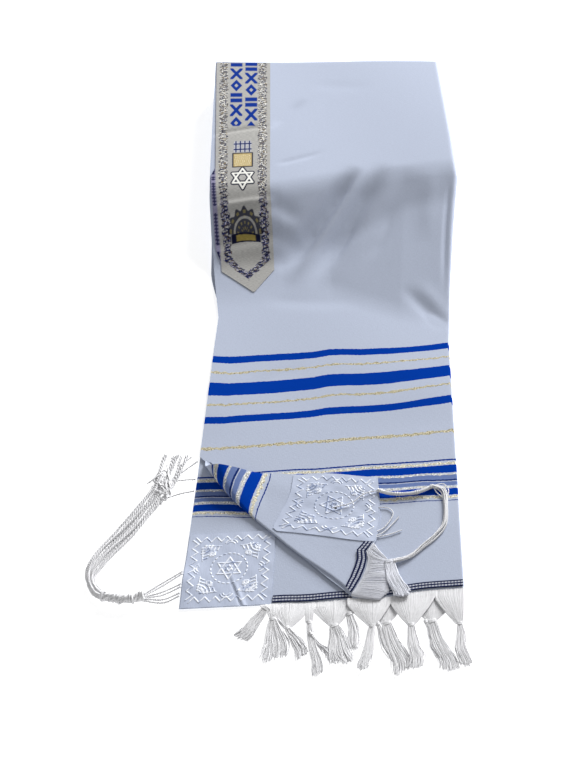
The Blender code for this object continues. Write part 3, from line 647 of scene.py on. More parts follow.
def patterned_satin(name):
    """Polyester satin: smooth and softly shiny, with brighter raised thread on it."""
    material, tree, shader = new_material(name)
    marks = {mark: add_node(tree, "Attribute", {"attribute_name": mark}).outputs["Fac"]
             for mark in ("thread", "painted_thread_shade", "eyelet")}
    cut = add_node(tree, "UVMap", {"uv_map": "cut"})
    # painted sheen: the satin's floats catching the light, drawn as fine broken streaks of lighter
    # and darker colour along the warp, which also bump the surface
    stretched = add_node(tree, "Mapping", {"Scale": (900, 90, 1), "Vector": cut})
    floats = add_node(tree, "TexNoise", {"noise_dimensions": "2D", "Scale": 1, "Detail": 2,
                                         "Vector": stretched})
    ground = mottled(tree, linear(SATIN_WHITE), floats, (0.3, 0.7), (0.94, 1.04))
    # the thread is painted: its colour runs by a grain from a painted shade of dull grey-blue to a
    # painted highlight of white, for where its floats lie to the light and where they turn from it
    painted_lustre_grain = add_node(tree, "TexNoise", {"noise_dimensions": "2D", "Scale": 150, "Detail": 2,
                                      "Vector": cut})
    facing = add_node(tree, "Math", {"operation": "SUBTRACT", 0: painted_lustre_grain, 1: marks["painted_thread_shade"]})
    painted_lustre = add_node(tree, "MapRange", {"From Min": 0.30, "From Max": 0.50, "Value": facing})
    lit = add_node(tree, "Mix", {"data_type": "RGBA", 0: painted_lustre,
                                 6: linear(THREAD_PAINTED_SHADE), 7: linear(THREAD_WHITE)}).outputs[2]
    threaded = add_node(tree, "Mix", {"data_type": "RGBA", 0: marks["thread"],
                                      6: ground, 7: lit}).outputs[2]
    # painted shade: the eyelet's hole is drawn near-black, for the shade inside it
    colour = add_node(tree, "Mix", {"data_type": "RGBA", 0: marks["eyelet"],
                                    6: threaded, 7: linear(EYELET_PAINTED_SHADE)}).outputs[2]
    gloss = add_node(tree, "MapRange", {"To Min": 0.48, "To Max": 0.30, "Value": marks["thread"]})
    height = add_node(tree, "Math", {"operation": "MULTIPLY_ADD",
                                     0: floats, 1: 0.25, 2: marks["thread"]})
    bump = add_node(tree, "Bump", {"Strength": 0.5, "Distance": 0.0004, "Height": height})
    feed(tree, shader, {"Specular IOR Level": 0.5, "Sheen Weight": 0.15, "Base Color": colour,
                        "Roughness": gloss, "Normal": bump})
    return material


satin = patterned_satin("Polyester satin with raised thread")
runs = patch_pattern()
x, y = np.meshgrid(np.linspace(PATCH_INSET, PATCH_SIDE - PATCH_INSET, 180),
                   np.linspace(0, PATCH_SIDE - PATCH_INSET, 180))
thread = stitched(x, y, runs)
puckered = 0.0002 * np.sin(x / 0.0042) * np.sin(y / 0.0051 + 1)
off = x - 0.049 + 0.42 * (y - 0.045)
crease = 0.0009 * np.exp(-(((off - 0.0030) / 0.0032) ** 2))
crease -= 0.0007 * np.exp(-((off / 0.0020) ** 2))
raised = SEAM + TRIM + THREAD_HEIGHT * thread + puckered + crease * ease((0.050 - y) / 0.03)
patch = lay_sheet("patch_lower", lifted(lower_top(x, y), raised), grid(x, y), TRIM, satin,
                  {"thread": thread}, backed=False)
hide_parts("corner_patch_lower")

# the turned corner's patch is the same, drawn up a little in its sewing, and cut off where the
# cloth goes round the roll
PATCH_CLEAR = 0.0085
PATCH_DRAWN = 0.93
EYELET = (0.0545, 0.0490)
v = np.linspace(PATCH_INSET + 0.001, PATCH_SIDE, 180)[:, None]
limit = (TURN_DEPTH - PATCH_CLEAR - PATCH_DRAWN * v * AWAY_Y) / (PATCH_DRAWN * AWAY_X)
limit = np.minimum(PATCH_SIDE, limit)
u = mix(PATCH_INSET + 0.001, limit, np.linspace(0, 1, 180)[None, :])
v = v + 0 * u
thread = stitched(u, v, runs)
puckered = 0.0002 * np.sin(u / 0.0040) * np.sin(v / 0.0047 + 1)
# the eyelet: a small square hole, sunk a little and painted near-black for its shade
eyelet = within(np.maximum(np.abs(u - EYELET[0]), np.abs(v - EYELET[1])), 0.0010, 0.0004)
# painted shade: on the turned patch the thread is drawn duller all over, most round its middle
painted_thread_shade = 0.05 + 0.16 * np.exp(-(((u - 0.052) / 0.030) ** 2) - ((v - 0.066) / 0.030) ** 2)
raised = THREAD_HEIGHT * thread * (1 - eyelet) + puckered - 0.0004 * eyelet
places = lifted(turned(PATCH_DRAWN * u, PATCH_DRAWN * v, 0.0002 + TRIM), raised)
patch_turned = lay_sheet("patch_turned", places[::-1], grid(u, v)[::-1], TRIM, satin,
                         {"thread": thread[::-1], "eyelet": eyelet[::-1], "painted_thread_shade": painted_thread_shade[::-1]},
                         backed=False)
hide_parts("corner_patch_turned")

# ================================================================ the neckband
# A jacquard ribbon sewn along the neck edge, mitred to a point: taupe satin with lace-like woven
# borders. Up its middle are woven a palmette, a star, a gold square, a fence, and plain blue
# lozenges, bars and hourglasses.

BAND_SHOULDERS = 0.548
BAND_TIP = 0.507
BAND_WIDTH = 0.071
BAND_SIDES = (
    # along, left, right: the ribbon's sides, as shares of the folded width
    (0.50, 0.036, 0.264),
    (0.70, 0.025, 0.254),
    (BACK, 0.005, 0.256),
)
BAND_FLOATS = (
    # from, to, above, below: the lots that draw each colour of float, in the two parts of the lace
    (0.00, 0.15, "#EDEBE4", "#1A1E48"),
    (0.15, 0.36, "#55566A", "#2C3566"),
    (0.36, 0.46, "#8A7A5C", "#B9B6CC"),
    (0.46, 0.60, "#77746F", "#5E4F48"),
)
BAND_TAUPE, BAND_NAVY, BAND_BLUE = "#AEADAA", "#0E1330", "#00308C"
BAND_GOLD, BAND_SILVER, BAND_LAVENDER = "#C2AE7C", "#F2F2EC", "#8D8AA6"
BAND_DOTS, BAND_FENCE, BAND_PALE = "#20224C", "#1E2A5C", "#C9CCD8"
BAND_CREAM, BAND_VEINS, BAND_FOOT = "#EFE8CC", "#8E8456", "#A89650"
LACE_STEP = 0.0052
FIGURE_STEP = 0.0345
FENCE_AT, SQUARE_AT, STAR_AT, PALMETTE_AT = 0.7830, 0.7470, 0.7010, 0.6080


def woven_in(colours, where, code):
    """Weaves a colour in where a share is near 1."""
    where = np.clip(where, 0, 1)[..., None]
    colours[:] = colours * (1 - where) + np.array(linear(code)) * where


def by_lot(key):
    """A number from 0 to 1 for each key, as if drawn by lot."""
    return (np.sin(key) * 43758.5453) % 1.0


def band_weave(f, along, rim):
    """The ribbon's woven colours: f from 0 to 1 across it, and rim the way in from its border."""
    x = (f - 0.5) * BAND_WIDTH
    colours = np.ones(f.shape + (4,)) * np.array(linear(BAND_TAUPE))
    # the border: a lace of slanting navy strokes with silver yarn between them, its shine painted
    # in as near-white glints (painted highlight), fainter on the part towards the point
    cell = np.floor(along / LACE_STEP)
    lot = by_lot(cell * 12.9898)
    t = along / LACE_STEP - cell - 0.5
    r = (rim - 0.0100) / 0.0048
    heavy = mix(1.0, 0.55, ease((along - 0.66) / 0.10))
    inside = within(np.abs(r), mix(0.75, 1.25, lot), 0.20)
    stroke = within(np.abs(t - 0.34 * r * (2 * (cell % 2) - 1)), 0.20 * heavy, 0.14)
    cross = within(np.abs(t + 0.42 * r - 0.2), 0.10 * heavy, 0.12)
    spine = within(np.abs(r + 0.10 - 0.30 * np.cos(t * 6.2832)), 0.16, 0.16)
    woven_in(colours, inside * np.maximum(stroke, np.maximum(0.8 * cross, 0.75 * spine)), BAND_NAVY)
    shown = (lot > 0.30) * mix(0.35, 1.0, ease((along - 0.655) / 0.05))
    painted_glint = within(np.abs(t - 0.30 - 0.30 * r), 0.10, 0.10) * within(np.abs(r - 0.2), 0.9, 0.2)
    woven_in(colours, painted_glint * shown, BAND_SILVER)
    # the lace's small floats: silver and dull gold above, navy and lavender round the point
    spot = by_lot(np.floor(rim / 0.0013) * 12.9898 + np.floor(along / 0.0017) * 78.233
                  + np.sign(x) * 3.7)
    upper_part = ease((along - 0.640) / 0.04)
    for low, high, above_code, below_code in BAND_FLOATS:
        for share, code in ((upper_part, above_code), (1 - upper_part, below_code)):
            woven_in(colours, 0.85 * inside * share * (spot > low) * (spot < high), code)
    # the under half's lace edge shows as a lavender strip with navy dots beside the border
    strip = within(f, -0.004, 0.008)
    woven_in(colours, strip, BAND_LAVENDER)
    dots = within(np.hypot((f + 0.040) * BAND_WIDTH, np.abs(t) * 0.0036), 0.0019, 0.0006)
    woven_in(colours, strip * dots * (lot > 0.15), BAND_DOTS)
    # two columns of plain blue figures: lozenges, bars and hourglasses in turn
    for number, centre in enumerate((-0.0088, 0.0108)):
        row = along / FIGURE_STEP + 0.37 * number
        cell = np.floor(row)
        row = np.abs(row - cell - 0.5)
        side = np.abs((x - centre) / 0.0078)
        lozenge = np.abs(side + row * 2.0 - 0.66) - 0.28
        hourglass = np.maximum(row - 0.42, np.abs(side - 2.0 * row) - 0.30)
        bars = np.maximum(np.abs(row - 0.22) - 0.11, side - 0.95)
        figure = np.where(cell % 3 == 0, lozenge, np.where(cell % 3 == 1, hourglass, bars))
        shown = within(np.maximum(figure, side - 1.0), 0, 0.10)
        woven_in(colours, shown * ease((along - 0.836) / 0.003), BAND_BLUE)
    # a fence of navy bars over a gold square in a dark frame
    up = np.abs(along - FENCE_AT)
    fence = np.maximum(up - 0.0150, np.abs(x) - 0.0115)
    posts = np.abs(((x / 0.0058) % 1.0) - 0.5) * 0.0058 - 0.0009
    bars = np.minimum(posts, (np.abs(up - 0.0075) - 0.0016) * 0.6)
    for grown, code in ((0.0006, BAND_PALE), (-0.0002, BAND_FENCE)):
        woven_in(colours, within(np.maximum(fence, bars - grown), 0, 0.0006), code)
    square = np.maximum(np.abs(x) / 0.0130, np.abs(along - SQUARE_AT) / 0.0185)
    woven_in(colours, within(square, 1.0, 0.08), BAND_NAVY)
    woven_in(colours, within(square, 0.88, 0.06), BAND_GOLD)
    flecks = np.cos(x * 2400 + np.cos(along * 900) * 2) * np.cos(along * 1500)
    woven_in(colours, 0.8 * (square < 0.80) * ease((flecks - 0.25) / 0.3), BAND_CREAM)
    # a six-pointed star, outlined
    far = np.minimum(*(nearest(x, (along - STAR_AT) / 1.55,
                               ring_of((0, 0), 0.0150, start, start + 360, 4))[0]
                       for start in (90, 270)))
    woven_in(colours, within(far, 0.0026, 0.0007), BAND_NAVY)
    woven_in(colours, within(far, 0.0009, 0.0006), BAND_SILVER)
    # a large palmette: a fan of close leaves in navy and dull gold, on a gold foot
    up = along - PALMETTE_AT
    fan = np.hypot(x / 0.0232, up / 0.0390)
    waves = np.cos(np.arctan2(x / 0.0232, up / 0.0390) * 13)
    inside = within(fan, 0.93 + 0.07 * waves, 0.05) * (up > 0)
    woven_in(colours, inside * 0.9, BAND_NAVY)
    veins = ease((0.5 + 0.5 * waves - 0.55) / 0.25) * ease((np.cos(fan * 30) + 0.4) / 0.5)
    woven_in(colours, inside * veins * 0.7 * (fan > 0.15) * (fan < 0.90), BAND_VEINS)
    woven_in(colours, within(np.abs(fan - 0.62), 0.035, 0.03) * inside * 0.7, BAND_TAUPE)
    foot = np.maximum(np.abs(x) / 0.0185, np.abs(up + 0.0035 + 9.0 * x**2) / 0.0058)
    woven_in(colours, within(foot, 1.0, 0.12), BAND_NAVY)
    woven_in(colours, 0.85 * within(foot, 0.62, 0.12), BAND_FOOT)
    return colours


def woven_ribbon(name):
    """Jacquard satin ribbon: softly shiny, its floats fine ribs across it, colours woven in."""
    material, tree, shader = new_material(name)
    weave = add_node(tree, "Attribute", {"attribute_name": "weave"})
    cut = add_node(tree, "UVMap", {"uv_map": "cut"})
    stretched = add_node(tree, "Mapping", {"Scale": (250, 1300, 1), "Vector": cut})
    ribs = add_node(tree, "TexNoise", {"noise_dimensions": "2D", "Scale": 1, "Detail": 2,
                                       "Vector": stretched})
    bump = add_node(tree, "Bump", {"Strength": 0.4, "Distance": 0.0003, "Height": ribs})
    feed(tree, shader, {"Roughness": 0.42, "Specular IOR Level": 0.06, "Normal": bump,
                        "Base Color": mottled(tree, weave, ribs, (0.3, 0.7), (0.82, 1.12))})
    return material


band_along = np.concatenate([np.linspace(BAND_TIP, BAND_SHOULDERS, 46),
                             np.linspace(BAND_SHOULDERS, BACK - 0.014, 560)[1:]])
share, along = np.meshgrid(np.linspace(-1, 1, 100), band_along)
spread = np.interp(along, [BAND_TIP, BAND_SHOULDERS], [0.04, 1.0])
f = 0.5 + 0.5 * spread * share + 0.08 * (1 - spread)
lace = ease((along - 0.560) / 0.03) * ease((0.735 - along) / 0.03) * (along > BAND_SHOULDERS)
f = f - 0.085 * lace * ease((0.06 - f) / 0.06)
places = upper_top(mix(column(BAND_SIDES, along, 1), column(BAND_SIDES, along, 2), f), along)
mitre = (along - BAND_TIP - 1.25 * np.abs(f - 0.5) * BAND_WIDTH) * 0.72 - 0.0115
rim = np.minimum((0.5 - np.abs(f - 0.5)) * BAND_WIDTH, mitre)
band = lay_sheet("neckband_ribbon", lifted(places, EASE + TRIM),
                 grid((f - 0.5) * BAND_WIDTH, along), TRIM, woven_ribbon("Jacquard satin ribbon"),
                 {"weave": band_weave(f, along, rim)}, backed=False)
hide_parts("neckband")

# ================================================================ the hem braids
# A narrow woven braid on each hem: three navy cords with dotted silver between them, sewn flat.

BRAID_FROM_HEM = 0.002
BRAID_WIDTH = 0.0088
BRAID_END = 0.3043
BRAID_GROUND = "#2A3560"
BRAID_CORDS = (
    # across, width and height in mm, colour: each cord's place in the braid's width
    (0.8, 2, 0.35, "#0C1740"), (2.6, 1.7, 0.2, "#C4C8D2"), (4.4, 2, 0.35, "#0C1740"),
    (6.2, 1.7, 0.2, "#C4C8D2"), (8, 2, 0.35, "#0C1740"),
)


def braid_strip(name, places, run, from_hem, replaced):
    """One braid through a grid of places, with each place's way along the hem and from it."""
    height = np.zeros(run.shape)
    colours = np.ones(run.shape + (4,)) * np.array(linear(BRAID_GROUND))
    dotted = 0.5 + 0.5 * np.sin(run / 0.0034 * 2 * math.pi)
    across = (from_hem - BRAID_FROM_HEM) * 1000
    for centre, width, tall, code in BRAID_CORDS:
        crown = np.sqrt(np.clip(1 - (2 * (across - centre) / width) ** 2, 0, 1))
        height = np.maximum(height, tall / 1000 * crown)
        broken = 1.0 if tall > 0.3 else 0.25 + 0.75 * ease((dotted - 0.25) / 0.4)
        woven_in(colours, ease(crown / 0.5) * broken, code)
    strip = lay_sheet(name, lifted(places, height), grid(run, across / 1000), TRIM, braided,
                      {"weave": colours}, backed=False)
    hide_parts(replaced)


braided = woven_ribbon("Woven braid, navy and silver")
rows = np.linspace(BRAID_FROM_HEM, BRAID_FROM_HEM + BRAID_WIDTH, 25)
x, y = np.meshgrid(np.linspace(PATCH_SIDE + 0.001, BRAID_END, 240), rows)
braid_strip("braid_lower", lifted(lower_top(x, y), SEAM + TRIM), x, y, "hem_braid_lower")
share, y = np.meshgrid(np.linspace(0, 1, 150), rows)
x = mix(neck_side(y) * FOLDED_WIDTH + 0.012, BRAID_END, share)
braid_strip("braid_upper", lifted(upper_top(x / FOLDED_WIDTH, y), SEAM + TRIM), x, y,
            "hem_braid_upper")
share, v = np.meshgrid(np.linspace(0, 1, 110), rows[::-1])
u = mix(PATCH_DRAWN * PATCH_SIDE + 0.001, (TURN_DEPTH - 0.004 - v * AWAY_Y) / AWAY_X, share)
braid_strip("braid_turned", turned(u, v, 2 * EASE + TRIM), u, v, "hem_braid_turned")

# ================================================================ the fringe
# Warp yarns drawn together below each hem: a dense curtain of soft white cotton yarn, gathered into
# points, each knotted and ending in a loose tassel.

YARN = 0.00042
NET_YARN = YARN * 1.15
TASSEL_YARN = YARN * 1.1
KNOT_YARN = 0.0008
NET_SPACING = 0.00040
TASSELS_LOWER = (
    # knot_x, knot_y, end_x, end_y, width at the knot and at the end in mm, strands, lobes
    (96, -6, 69, -40, 7, 15, 64, 3), (104, -20, 112, -68, 6, 29, 96, 5),
    (120, -32, 139, -65, 4, 13, 56, 3), (143, -26, 153, -88, 4, 11, 44, 3),
    (145, -40, 164, -66, 2, 4.5, 16, 1), (169, -32, 179, -76, 7, 23, 90, 4),
    (185, -18, 192, -60, 5, 11, 40, 2), (215, -32, 229, -78, 2.8, 5.5, 22, 1),
    (224, -32, 240, -90, 8, 15, 80, 3), (264, -32, 277, -76, 2.8, 5.5, 22, 1),
    (270, -32, 286, -89, 8, 15, 80, 3),
)
TASSELS_UPPER = (
    (209, -35, 201.5, -85, 4.5, 12, 60, 3), (249, -36, 253, -87, 5, 12, 60, 3),
    (298.5, -37, 301, -86, 4.5, 13, 60, 3),
)
CURTAIN_LOWER = (
    # from_x, to_x, knot_x, knot_y in mm: where each gathered point's yarns leave the hem and end
    (89, 100, 96, -7.5), (96, 108, 104, -20), (100, 144, 120, -32), (138, 148, 143, -26),
    (144, 189, 169, -32), (183, 196, 185, -18), (189, 245, 222, -32), (245, 301, 270, -32),
)
CURTAIN_UPPER = (
    (183, 228, 209, -35), (228, 274, 249, -36), (274, 304, 298.5, -37),
)
ON_CLOTH = UPPER_TOP + 0.0014
chance = np.random.default_rng(7)


def yarns(name, paths, radii, material):
    """Soft yarns: one tube through each path's points, thinning to its end, as one piece."""
    curve = bpy.data.curves.new(name, "CURVE")
    curve.dimensions = "3D"
    curve.bevel_depth = 1.0
    curve.bevel_resolution = 0
    curve.use_fill_caps = True
    for path, radius in zip(paths, radii):
        path = np.asarray(path) + np.array(corner)
        line = curve.splines.new("POLY")
        line.points.add(len(path) - 1)
        line.points.foreach_set("co", np.insert(path, 3, 1, axis=1).reshape(-1))
        line.points.foreach_set("radius", np.broadcast_to(radius, len(path)).astype(float))
    piece = bpy.data.objects.new(name, curve)
    bpy.context.collection.objects.link(piece)
    bpy.ops.object.select_all(action="DESELECT")
    bpy.context.view_layer.objects.active = piece
    piece.select_set(True)
    bpy.ops.object.convert(target="MESH")
    piece = bpy.context.object
    piece.data.materials.append(material)
    bpy.ops.object.shade_smooth()
    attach(piece, "root")
    return piece


def gathered(points, hem, level):
    """A curtain's yarns: close together at the hem, they draw in to each point's knot."""
    paths = []
    share = np.linspace(0, 1, 10)
    for from_x, to_x, knot_x, knot_y in np.array(points) / 1000:
        count = max(int((to_x - from_x) / NET_SPACING), 6)
        for number, x in enumerate(np.linspace(from_x, to_x, count)):
            end_x = knot_x + (number / (count - 1) - 0.5) * 0.0060 + chance.normal(0, 0.0003)
            drawn = np.clip((share - 0.26) / 0.74, 0, 1)
            way_x = mix(x + chance.normal(0, 0.0002), end_x, drawn * mix(0.75, 1.0, drawn))
            way_y = mix(0.0008 + hem_rise(x, 0.0), knot_y, share)
            bulk = 0.0010 * np.sin(share * math.pi) + 0.0002 * (number % 2)
            way_z = mix(hem, level, ease(share)) + bulk + chance.normal(0, 0.0001)
            paths.append(grid(way_x, way_y, way_z))
    return paths


def tassels(rows, height, floor):
    """Each tassel's knot, wound of a few turns, and its strands, which lie in a few soft lobes."""
    paths, radii = [], []
    share = np.linspace(0, 1, 14)
    for *sizes, strands, lobes in rows:
        knot_x, knot_y, end_x, end_y, narrow, wide = np.array(sizes) / 1000
        forward = np.array([end_x - knot_x, end_y - knot_y, 0])
        length = np.linalg.norm(forward)
        forward /= length
        sideways = np.array([-forward[1], forward[0], 0])
        middle = np.array([knot_x, knot_y, height])
        turn = np.linspace(0, 2 * math.pi * 4, 49)[:, None]
        paths.append(middle + sideways * 0.55 * narrow * np.cos(turn)
                     + np.array([0, 0, 0.0012]) * np.sin(turn)
                     + forward * (0.0042 * turn / turn[-1] - 0.0016))
        radii.append(KNOT_YARN)
        sway = 0.0024 * np.sin(share * chance.uniform(4, 7) + chance.uniform(0, 6)) * share
        bends = [(chance.normal(0, 0.0007), chance.uniform(0.94, 1.03), chance.uniform(0, 1.5))
                 for lobe in range(lobes)]
        count = int(1.4 * strands)
        for number in range(count):
            side = 2 * (number + 0.5) / count - 1
            lobe = int((side + 1) / 2 * lobes)
            centre = (2 * lobe + 1) / lobes - 1
            bend, reach, phase = bends[lobe]
            side += chance.normal(0, 0.20)
            drawn = mix(side, centre, 0.16 * ease((share - 0.85) / 0.15))
            spread = 0.5 * drawn * mix(narrow, wide, share**0.8)
            wave = 0.0005 * share * np.sin(share * 9 + phase) + bend * share**2
            loose = chance.normal(0, 0.0012) * share
            loose = loose + (number % 7 == 4) * chance.normal(0, 0.0020) * share**2
            loose = loose + 0.0006 * share * np.sin(share * chance.uniform(8, 20) + number)
            rounded = 1 - 0.05 * ((side - centre) * lobes) ** 2 * chance.uniform(0.6, 1.2)
            reach = np.clip(reach * rounded + chance.normal(0, 0.012), 0.8, 1.05)
            way = (middle + forward * (0.0005 + length * share * reach)[:, None]
                   + sideways * (sway + spread + wave + loose)[:, None])
            rest = floor + chance.uniform(0.0, 0.0022) * (1 - 0.5 * (side - centre) ** 2)
            way[:, 2] = mix(height + chance.uniform(-0.0008, 0.0010), rest, ease(share / 0.45))
            paths.append(way)
            radii.append(TASSEL_YARN * (1 - 0.30 * share**3))
    return paths, radii


def cotton_yarn(name, shade):
    """Soft yarn: white and matt, with the fuzz and the turns of its plies."""
    material, tree, shader = new_material(name)
    place = add_node(tree, "TexCoord", {}).outputs["Object"]
    fuzz = add_node(tree, "TexNoise", {"Scale": 260, "Detail": 3, "Vector": place})
    plies = add_node(tree, "TexNoise", {"Scale": 1500, "Detail": 2, "Vector": place})
    bump = add_node(tree, "Bump", {"Strength": 0.5, "Distance": 0.0003, "Height": plies})
    colour = mottled(tree, linear(shade), fuzz, (0.25, 0.75), (0.92, 1.0))
    feed(tree, shader, {"Roughness": 0.9, "Specular IOR Level": 0.1, "Normal": bump,
                        "Base Color": colour})
    return material


def fringe(name, paths, knotted, material, replaced):
    """A fringe: its netting's yarns, and its tassels'."""
    ends, thin = knotted
    piece = yarns(name, paths + ends, [NET_YARN] * len(paths) + thin, material)
    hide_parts(replaced)


cotton = cotton_yarn("Cotton yarn, soft white", "#ECECEE")
fringe("fringe_lower_yarn", gathered(CURTAIN_LOWER, 0.0008, 0.0012),
       tassels(TASSELS_LOWER, 0.0028, 0.0006), cotton, "fringe_lower")
fringe("fringe_upper_yarn", gathered(CURTAIN_UPPER, UPPER_TOP - 0.0007, 0.0032),
       tassels(TASSELS_UPPER, 0.0042, 0.0024), cotton, "fringe_upper")

# the turned corner's own fringe lies on the upper layer, drawn together towards its one tassel
NET_ENDS = (
    # share of the way along the turned hem, x, y in mm: where the netting ends
    (0, 223, 47), (0.3, 227, 43), (0.55, 229, 35), (0.8, 227, 15), (1, 220, -3),
)
paths = []
share = np.linspace(0, 1, 9)
for place in np.linspace(0, 1, 330):
    start = turned(np.array(mix(0.0960, 0.1800, place)), np.array(0.0008), 0.0004)
    end_x, end_y = (column(NET_ENDS, place, n) / 1000 + chance.normal(0, 0.0006) for n in (1, 2))
    end_x += 0.0022 * math.sin(place * 30)
    bulk = 0.0012 * np.sin(share * math.pi) * chance.uniform(0.4, 1.4)
    sag = 0.0016 * math.sin(place * 30) * np.sin(share * math.pi)
    paths.append(grid(mix(start[0], end_x, share), mix(start[1], end_y, share) + sag,
                      mix(start[2], ON_CLOTH, ease(share)) + bulk))
# its yarn is drawn a cooler, slightly darker white than the other fringes' cotton: painted shade,
# as it lies in the shade of the turned corner
fringe("fringe_turned_yarn", paths,
       tassels(((227, 44, 239, -3, 8.5, 13.5, 120, 3),), UPPER_TOP + 0.0030, UPPER_TOP + 0.0021),
       cotton_yarn("Cotton yarn, in painted shade", "#E8EAF2"), "fringe_turned")

# ================================================================ the tzitzit
# Eight wool strands knotted through an eyelet in each corner: one strand is wound round the others
# between double knots, and then all eight hang free.

STRAND = 0.00085
STRAND_LOWER = 0.00165
ON_FLOOR = 0.0027
TZITZIT_LOWER_HEAD = (
    # x, y and height above where the strands lie, in mm: the way of the wound head
    (-40, 16, 4.7), (-60, 12, 4.9), (-88, 19, 4.1),
)
TZITZIT_LOWER_STRANDS = (
    # the same, with the share of the run and the spacing in mm: the way of the free strands
    (-82, 17, 1.3, 0, 1.1), (-98, 29, 0, 0.12, 1.3), (-106.5, 49, 0, 0.24, 1.1),
    (-99, 74, 0, 0.37, 2.5), (-74.5, 109, 0, 0.58, 3.1), (-53, 147, 0, 0.75, 3),
    (-40, 176, 0, 0.86, 3.1), (-35, 223, 0, 1, 4.2),
)
TZITZIT_LOWER_LOOPS = (
    # loops through the cloth, then ends that stray to the cloth's edge
    ((-42, 16.6, 4.3), (-24, 33, 0.3), (-1.6, 49, 0)),
    ((-42, 15, 3.3), (-24, 29, 0), (-1.4, 46, 0)),
    ((-42, 14.3, 3.3), (-21, 22, 0.3), (-1.4, 32, 0)),
    ((-42, 13.6, 2.3), (-21, 18, 0), (-1.4, 28, 0)),
    ((-42, 13.2, 2.3), (-19, 12, 0.3), (-1.4, 20, 0)), ((-44, 12, 1.3), (-19, 8, 0), (-1.4, 16, 0)),
    ((-53, 148, 0), (-33, 180, 0.3), (-19, 196, 0), (-2, 212, 0)),
    ((-50, 153, 0), (-30, 179, 0.3), (-18, 183, 0), (-1.6, 183, 0)),
    ((-52, 142, 0), (-33, 156, 0.3), (-18, 162, 0), (-1.6, 165, 0)),
    ((-45, 160, 0), (-28, 190, 0.3), (-21, 208, 0), (-10, 220, 0)),
)
TANGLE = (-40, 172)
TZITZIT_TURNED_HEAD = (
    (215, 144, 3.1), (230, 138.5, 1.9), (250, 137.5, 1.5), (266, 140.5, 1.5), (278, 146.6, 1.5),
)
TZITZIT_TURNED_STRANDS = (
    (277.5, 146.3, 1.7, 0, 0.8), (288.5, 140, 0, 0.12, 2.2), (290.5, 120, 0, 0.3, 1.1),
    (288, 93, 0, 0.5, 1.6), (277, 76, 0, 0.65, 1.1), (265, 64.1, 0, 0.8, 0.9),
    (250, 50, 0, 0.9, 0.9), (232.5, 42.8, 2, 1, 1.2),
)
TZITZIT_TURNED_LOOPS = (
    ((218, 143.6, 3.1), (200, 139.5, 3.4), (185, 127, 3.4), (164, 122.8, 2.7)),
    ((277.5, 146.6, 1.7), (289, 149.5, 0), (294.5, 139, 0), (290.5, 124, 0)),
    ((277.5, 145.8, 1.3), (281.5, 137, 0), (288, 129, 0), (290.5, 120, 0)),
    ((214.5, 121.3, 0), (227, 119, 0), (232, 109.7, 0), (223, 93, 0), (214, 87, 0)),
    ((238.5, 106, 0), (233, 98.5, 0), (222, 86, 0), (213, 81, 0)),
    ((241.6, 87, 0), (228, 82, 0), (212.5, 79, 0)),
)


def curve_through(points, count):
    """A smooth run through a few places, as evenly shared points."""
    places = np.asarray(points, dtype=float)
    padded = np.concatenate([[2 * places[0] - places[1]], places, [2 * places[-1] - places[-2]]])
    at = np.linspace(0, len(places) - 1, count)
    span = np.minimum(at.astype(int), len(places) - 2)
    t = (at - span)[:, None]
    before, start, end, after = (padded[span + n] for n in range(4))
    return 0.5 * (2 * start + (end - before) * t + (2 * before - 5 * start + 4 * end - after) * t**2
                  + (3 * start - before - 3 * end + after) * t**3)


def wound(path, radius, turns, phase=0.0):
    """A helix round a path: a strand wound round it, or one ply of a twisted yarn."""
    ahead = np.gradient(path, axis=0)
    ahead /= np.linalg.norm(ahead, axis=1)[:, None]
    sideways = np.cross(ahead, [0, 0, 1])
    sideways /= np.linalg.norm(sideways, axis=1)[:, None]
    upward = np.cross(sideways, ahead)
    angle = phase + np.linspace(0, 2 * math.pi * turns, len(path))
    return (path + sideways * (radius * np.cos(angle))[:, None]
            + upward * (radius * np.sin(angle))[:, None])


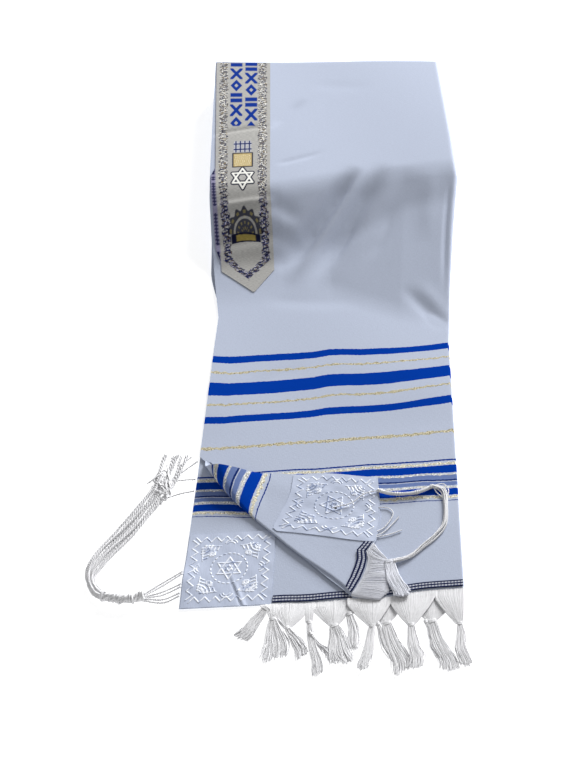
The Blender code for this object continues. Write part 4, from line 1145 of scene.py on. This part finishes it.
def tzitzit(name, lies_on, head_route, head, strand, strands, strand_route, loops, replaced):
    """A wound head between double knots, its free strands, whose plies open, and the loops.

    The routes are in mm above what they lie on, and the head is its girth and its turns.
    """
    girth, turns = head

    def way(route, count):
        return curve_through(np.array(route) / 1000 + (0, 0, lies_on), count)

    share = np.linspace(0, 1, 500)
    knots = sum(np.exp(-(((share - at) / 0.045) ** 2)) for at in (0.04, 0.34, 0.64, 0.96))
    paths = [wound(way(head_route, 500), girth * (0.62 + 0.38 * np.minimum(knots, 1)), turns)]
    radii = [strand * 0.9]
    for number in range(8):
        paths.append(wound(way(head_route, 60), girth * chance.uniform(0.45, 0.75), 1.6,
                           number * 0.785))
        radii.append(strand)
    middle = way([row[:3] for row in strand_route], 90)
    run = np.linspace(0, 1, 90)
    spacing = np.interp(run, *np.array(strand_route)[:, 3:].T) / 1000
    ahead = np.gradient(middle, axis=0)
    sideways = grid(ahead[:, 1], -ahead[:, 0], 0 * ahead[:, 0])
    sideways /= np.linalg.norm(sideways, axis=1)[:, None]
    for number in range(strands):
        drift = 1.1 * spacing * np.sin(run * (8 + number % 3 * 3) + number * 2.3) * run**1.5
        path = middle + sideways * ((number - 0.5 * (strands - 1)) * spacing + drift)[:, None]
        path[:, 2] += (number % 3) * 0.8 * strand
        for phase in (0, 2.1, 4.2):
            paths.append(wound(path, strand * mix(0.5, 1.1, run**1.2), 24, phase + number))
            radii.append(strand * 0.6)
    for route in loops:
        for phase in (0, math.pi):
            paths.append(wound(way(route, 30), strand * 0.45, 9, phase))
            radii.append(strand * 0.55)
    piece = yarns(name, paths, radii, wool)
    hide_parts(replaced)


wool = cotton_yarn("Wool yarn, twisted", "#EDEDEF")
tangled = [TANGLE + chance.normal(0, 8.5, (5, 2)) * (0.8, 1.4) for number in range(9)]
tangled = tuple([(*place, 1.2 * n) for n, place in enumerate(way)] for way in tangled)
tzitzit("tzitzit_lower_yarn", ON_FLOOR, TZITZIT_LOWER_HEAD, (0.0058, 17), STRAND_LOWER, 8,
        TZITZIT_LOWER_STRANDS, TZITZIT_LOWER_LOOPS + tangled, "tzitzit_lower")
tzitzit("tzitzit_turned_yarn", ON_CLOTH, TZITZIT_TURNED_HEAD, (0.0021, 30), STRAND, 4,
        TZITZIT_TURNED_STRANDS, TZITZIT_TURNED_LOOPS, "tzitzit_turned")

# ================================================================ the floor and the light
# A white table lit from below, as for a cut-out, and soft studio light: a broad lamp behind and to
# the right, low enough to shade the slope that faces the front, and an even white surround.

FLOOR_GLOW, SURROUND_GLOW = 0.60, 0.385
LAMP_AT, LAMP_SIZE, LAMP_WATTS = (2.93, 4.68, 2.34), 2.4, 700

bpy.ops.mesh.primitive_plane_add(size=30, location=(0, 0, -0.0002))
floor = bpy.context.object
floor.name = "floor"
paper, tree, shader = new_material("Matt white paper")
feed(tree, shader, {"Base Color": linear("#FAFAFA"), "Roughness": 0.9,
                    "Emission Color": linear("#FFFFFF"), "Emission Strength": FLOOR_GLOW})
floor.data.materials.append(paper)
surround = bpy.data.worlds.new("surround")
surround.use_nodes = True
feed(surround.node_tree, surround.node_tree.nodes["Background"],
     {"Color": linear("#FFFFFF"), "Strength": SURROUND_GLOW})
bpy.context.scene.world = surround
bpy.ops.object.light_add(type="AREA", location=LAMP_AT)
lamp = bpy.context.object
lamp.name = "broad_lamp"
lamp.data.size = LAMP_SIZE
lamp.data.energy = LAMP_WATTS
lamp.rotation_euler = (-lamp.location).to_track_quat("-Z", "Y").to_euler()
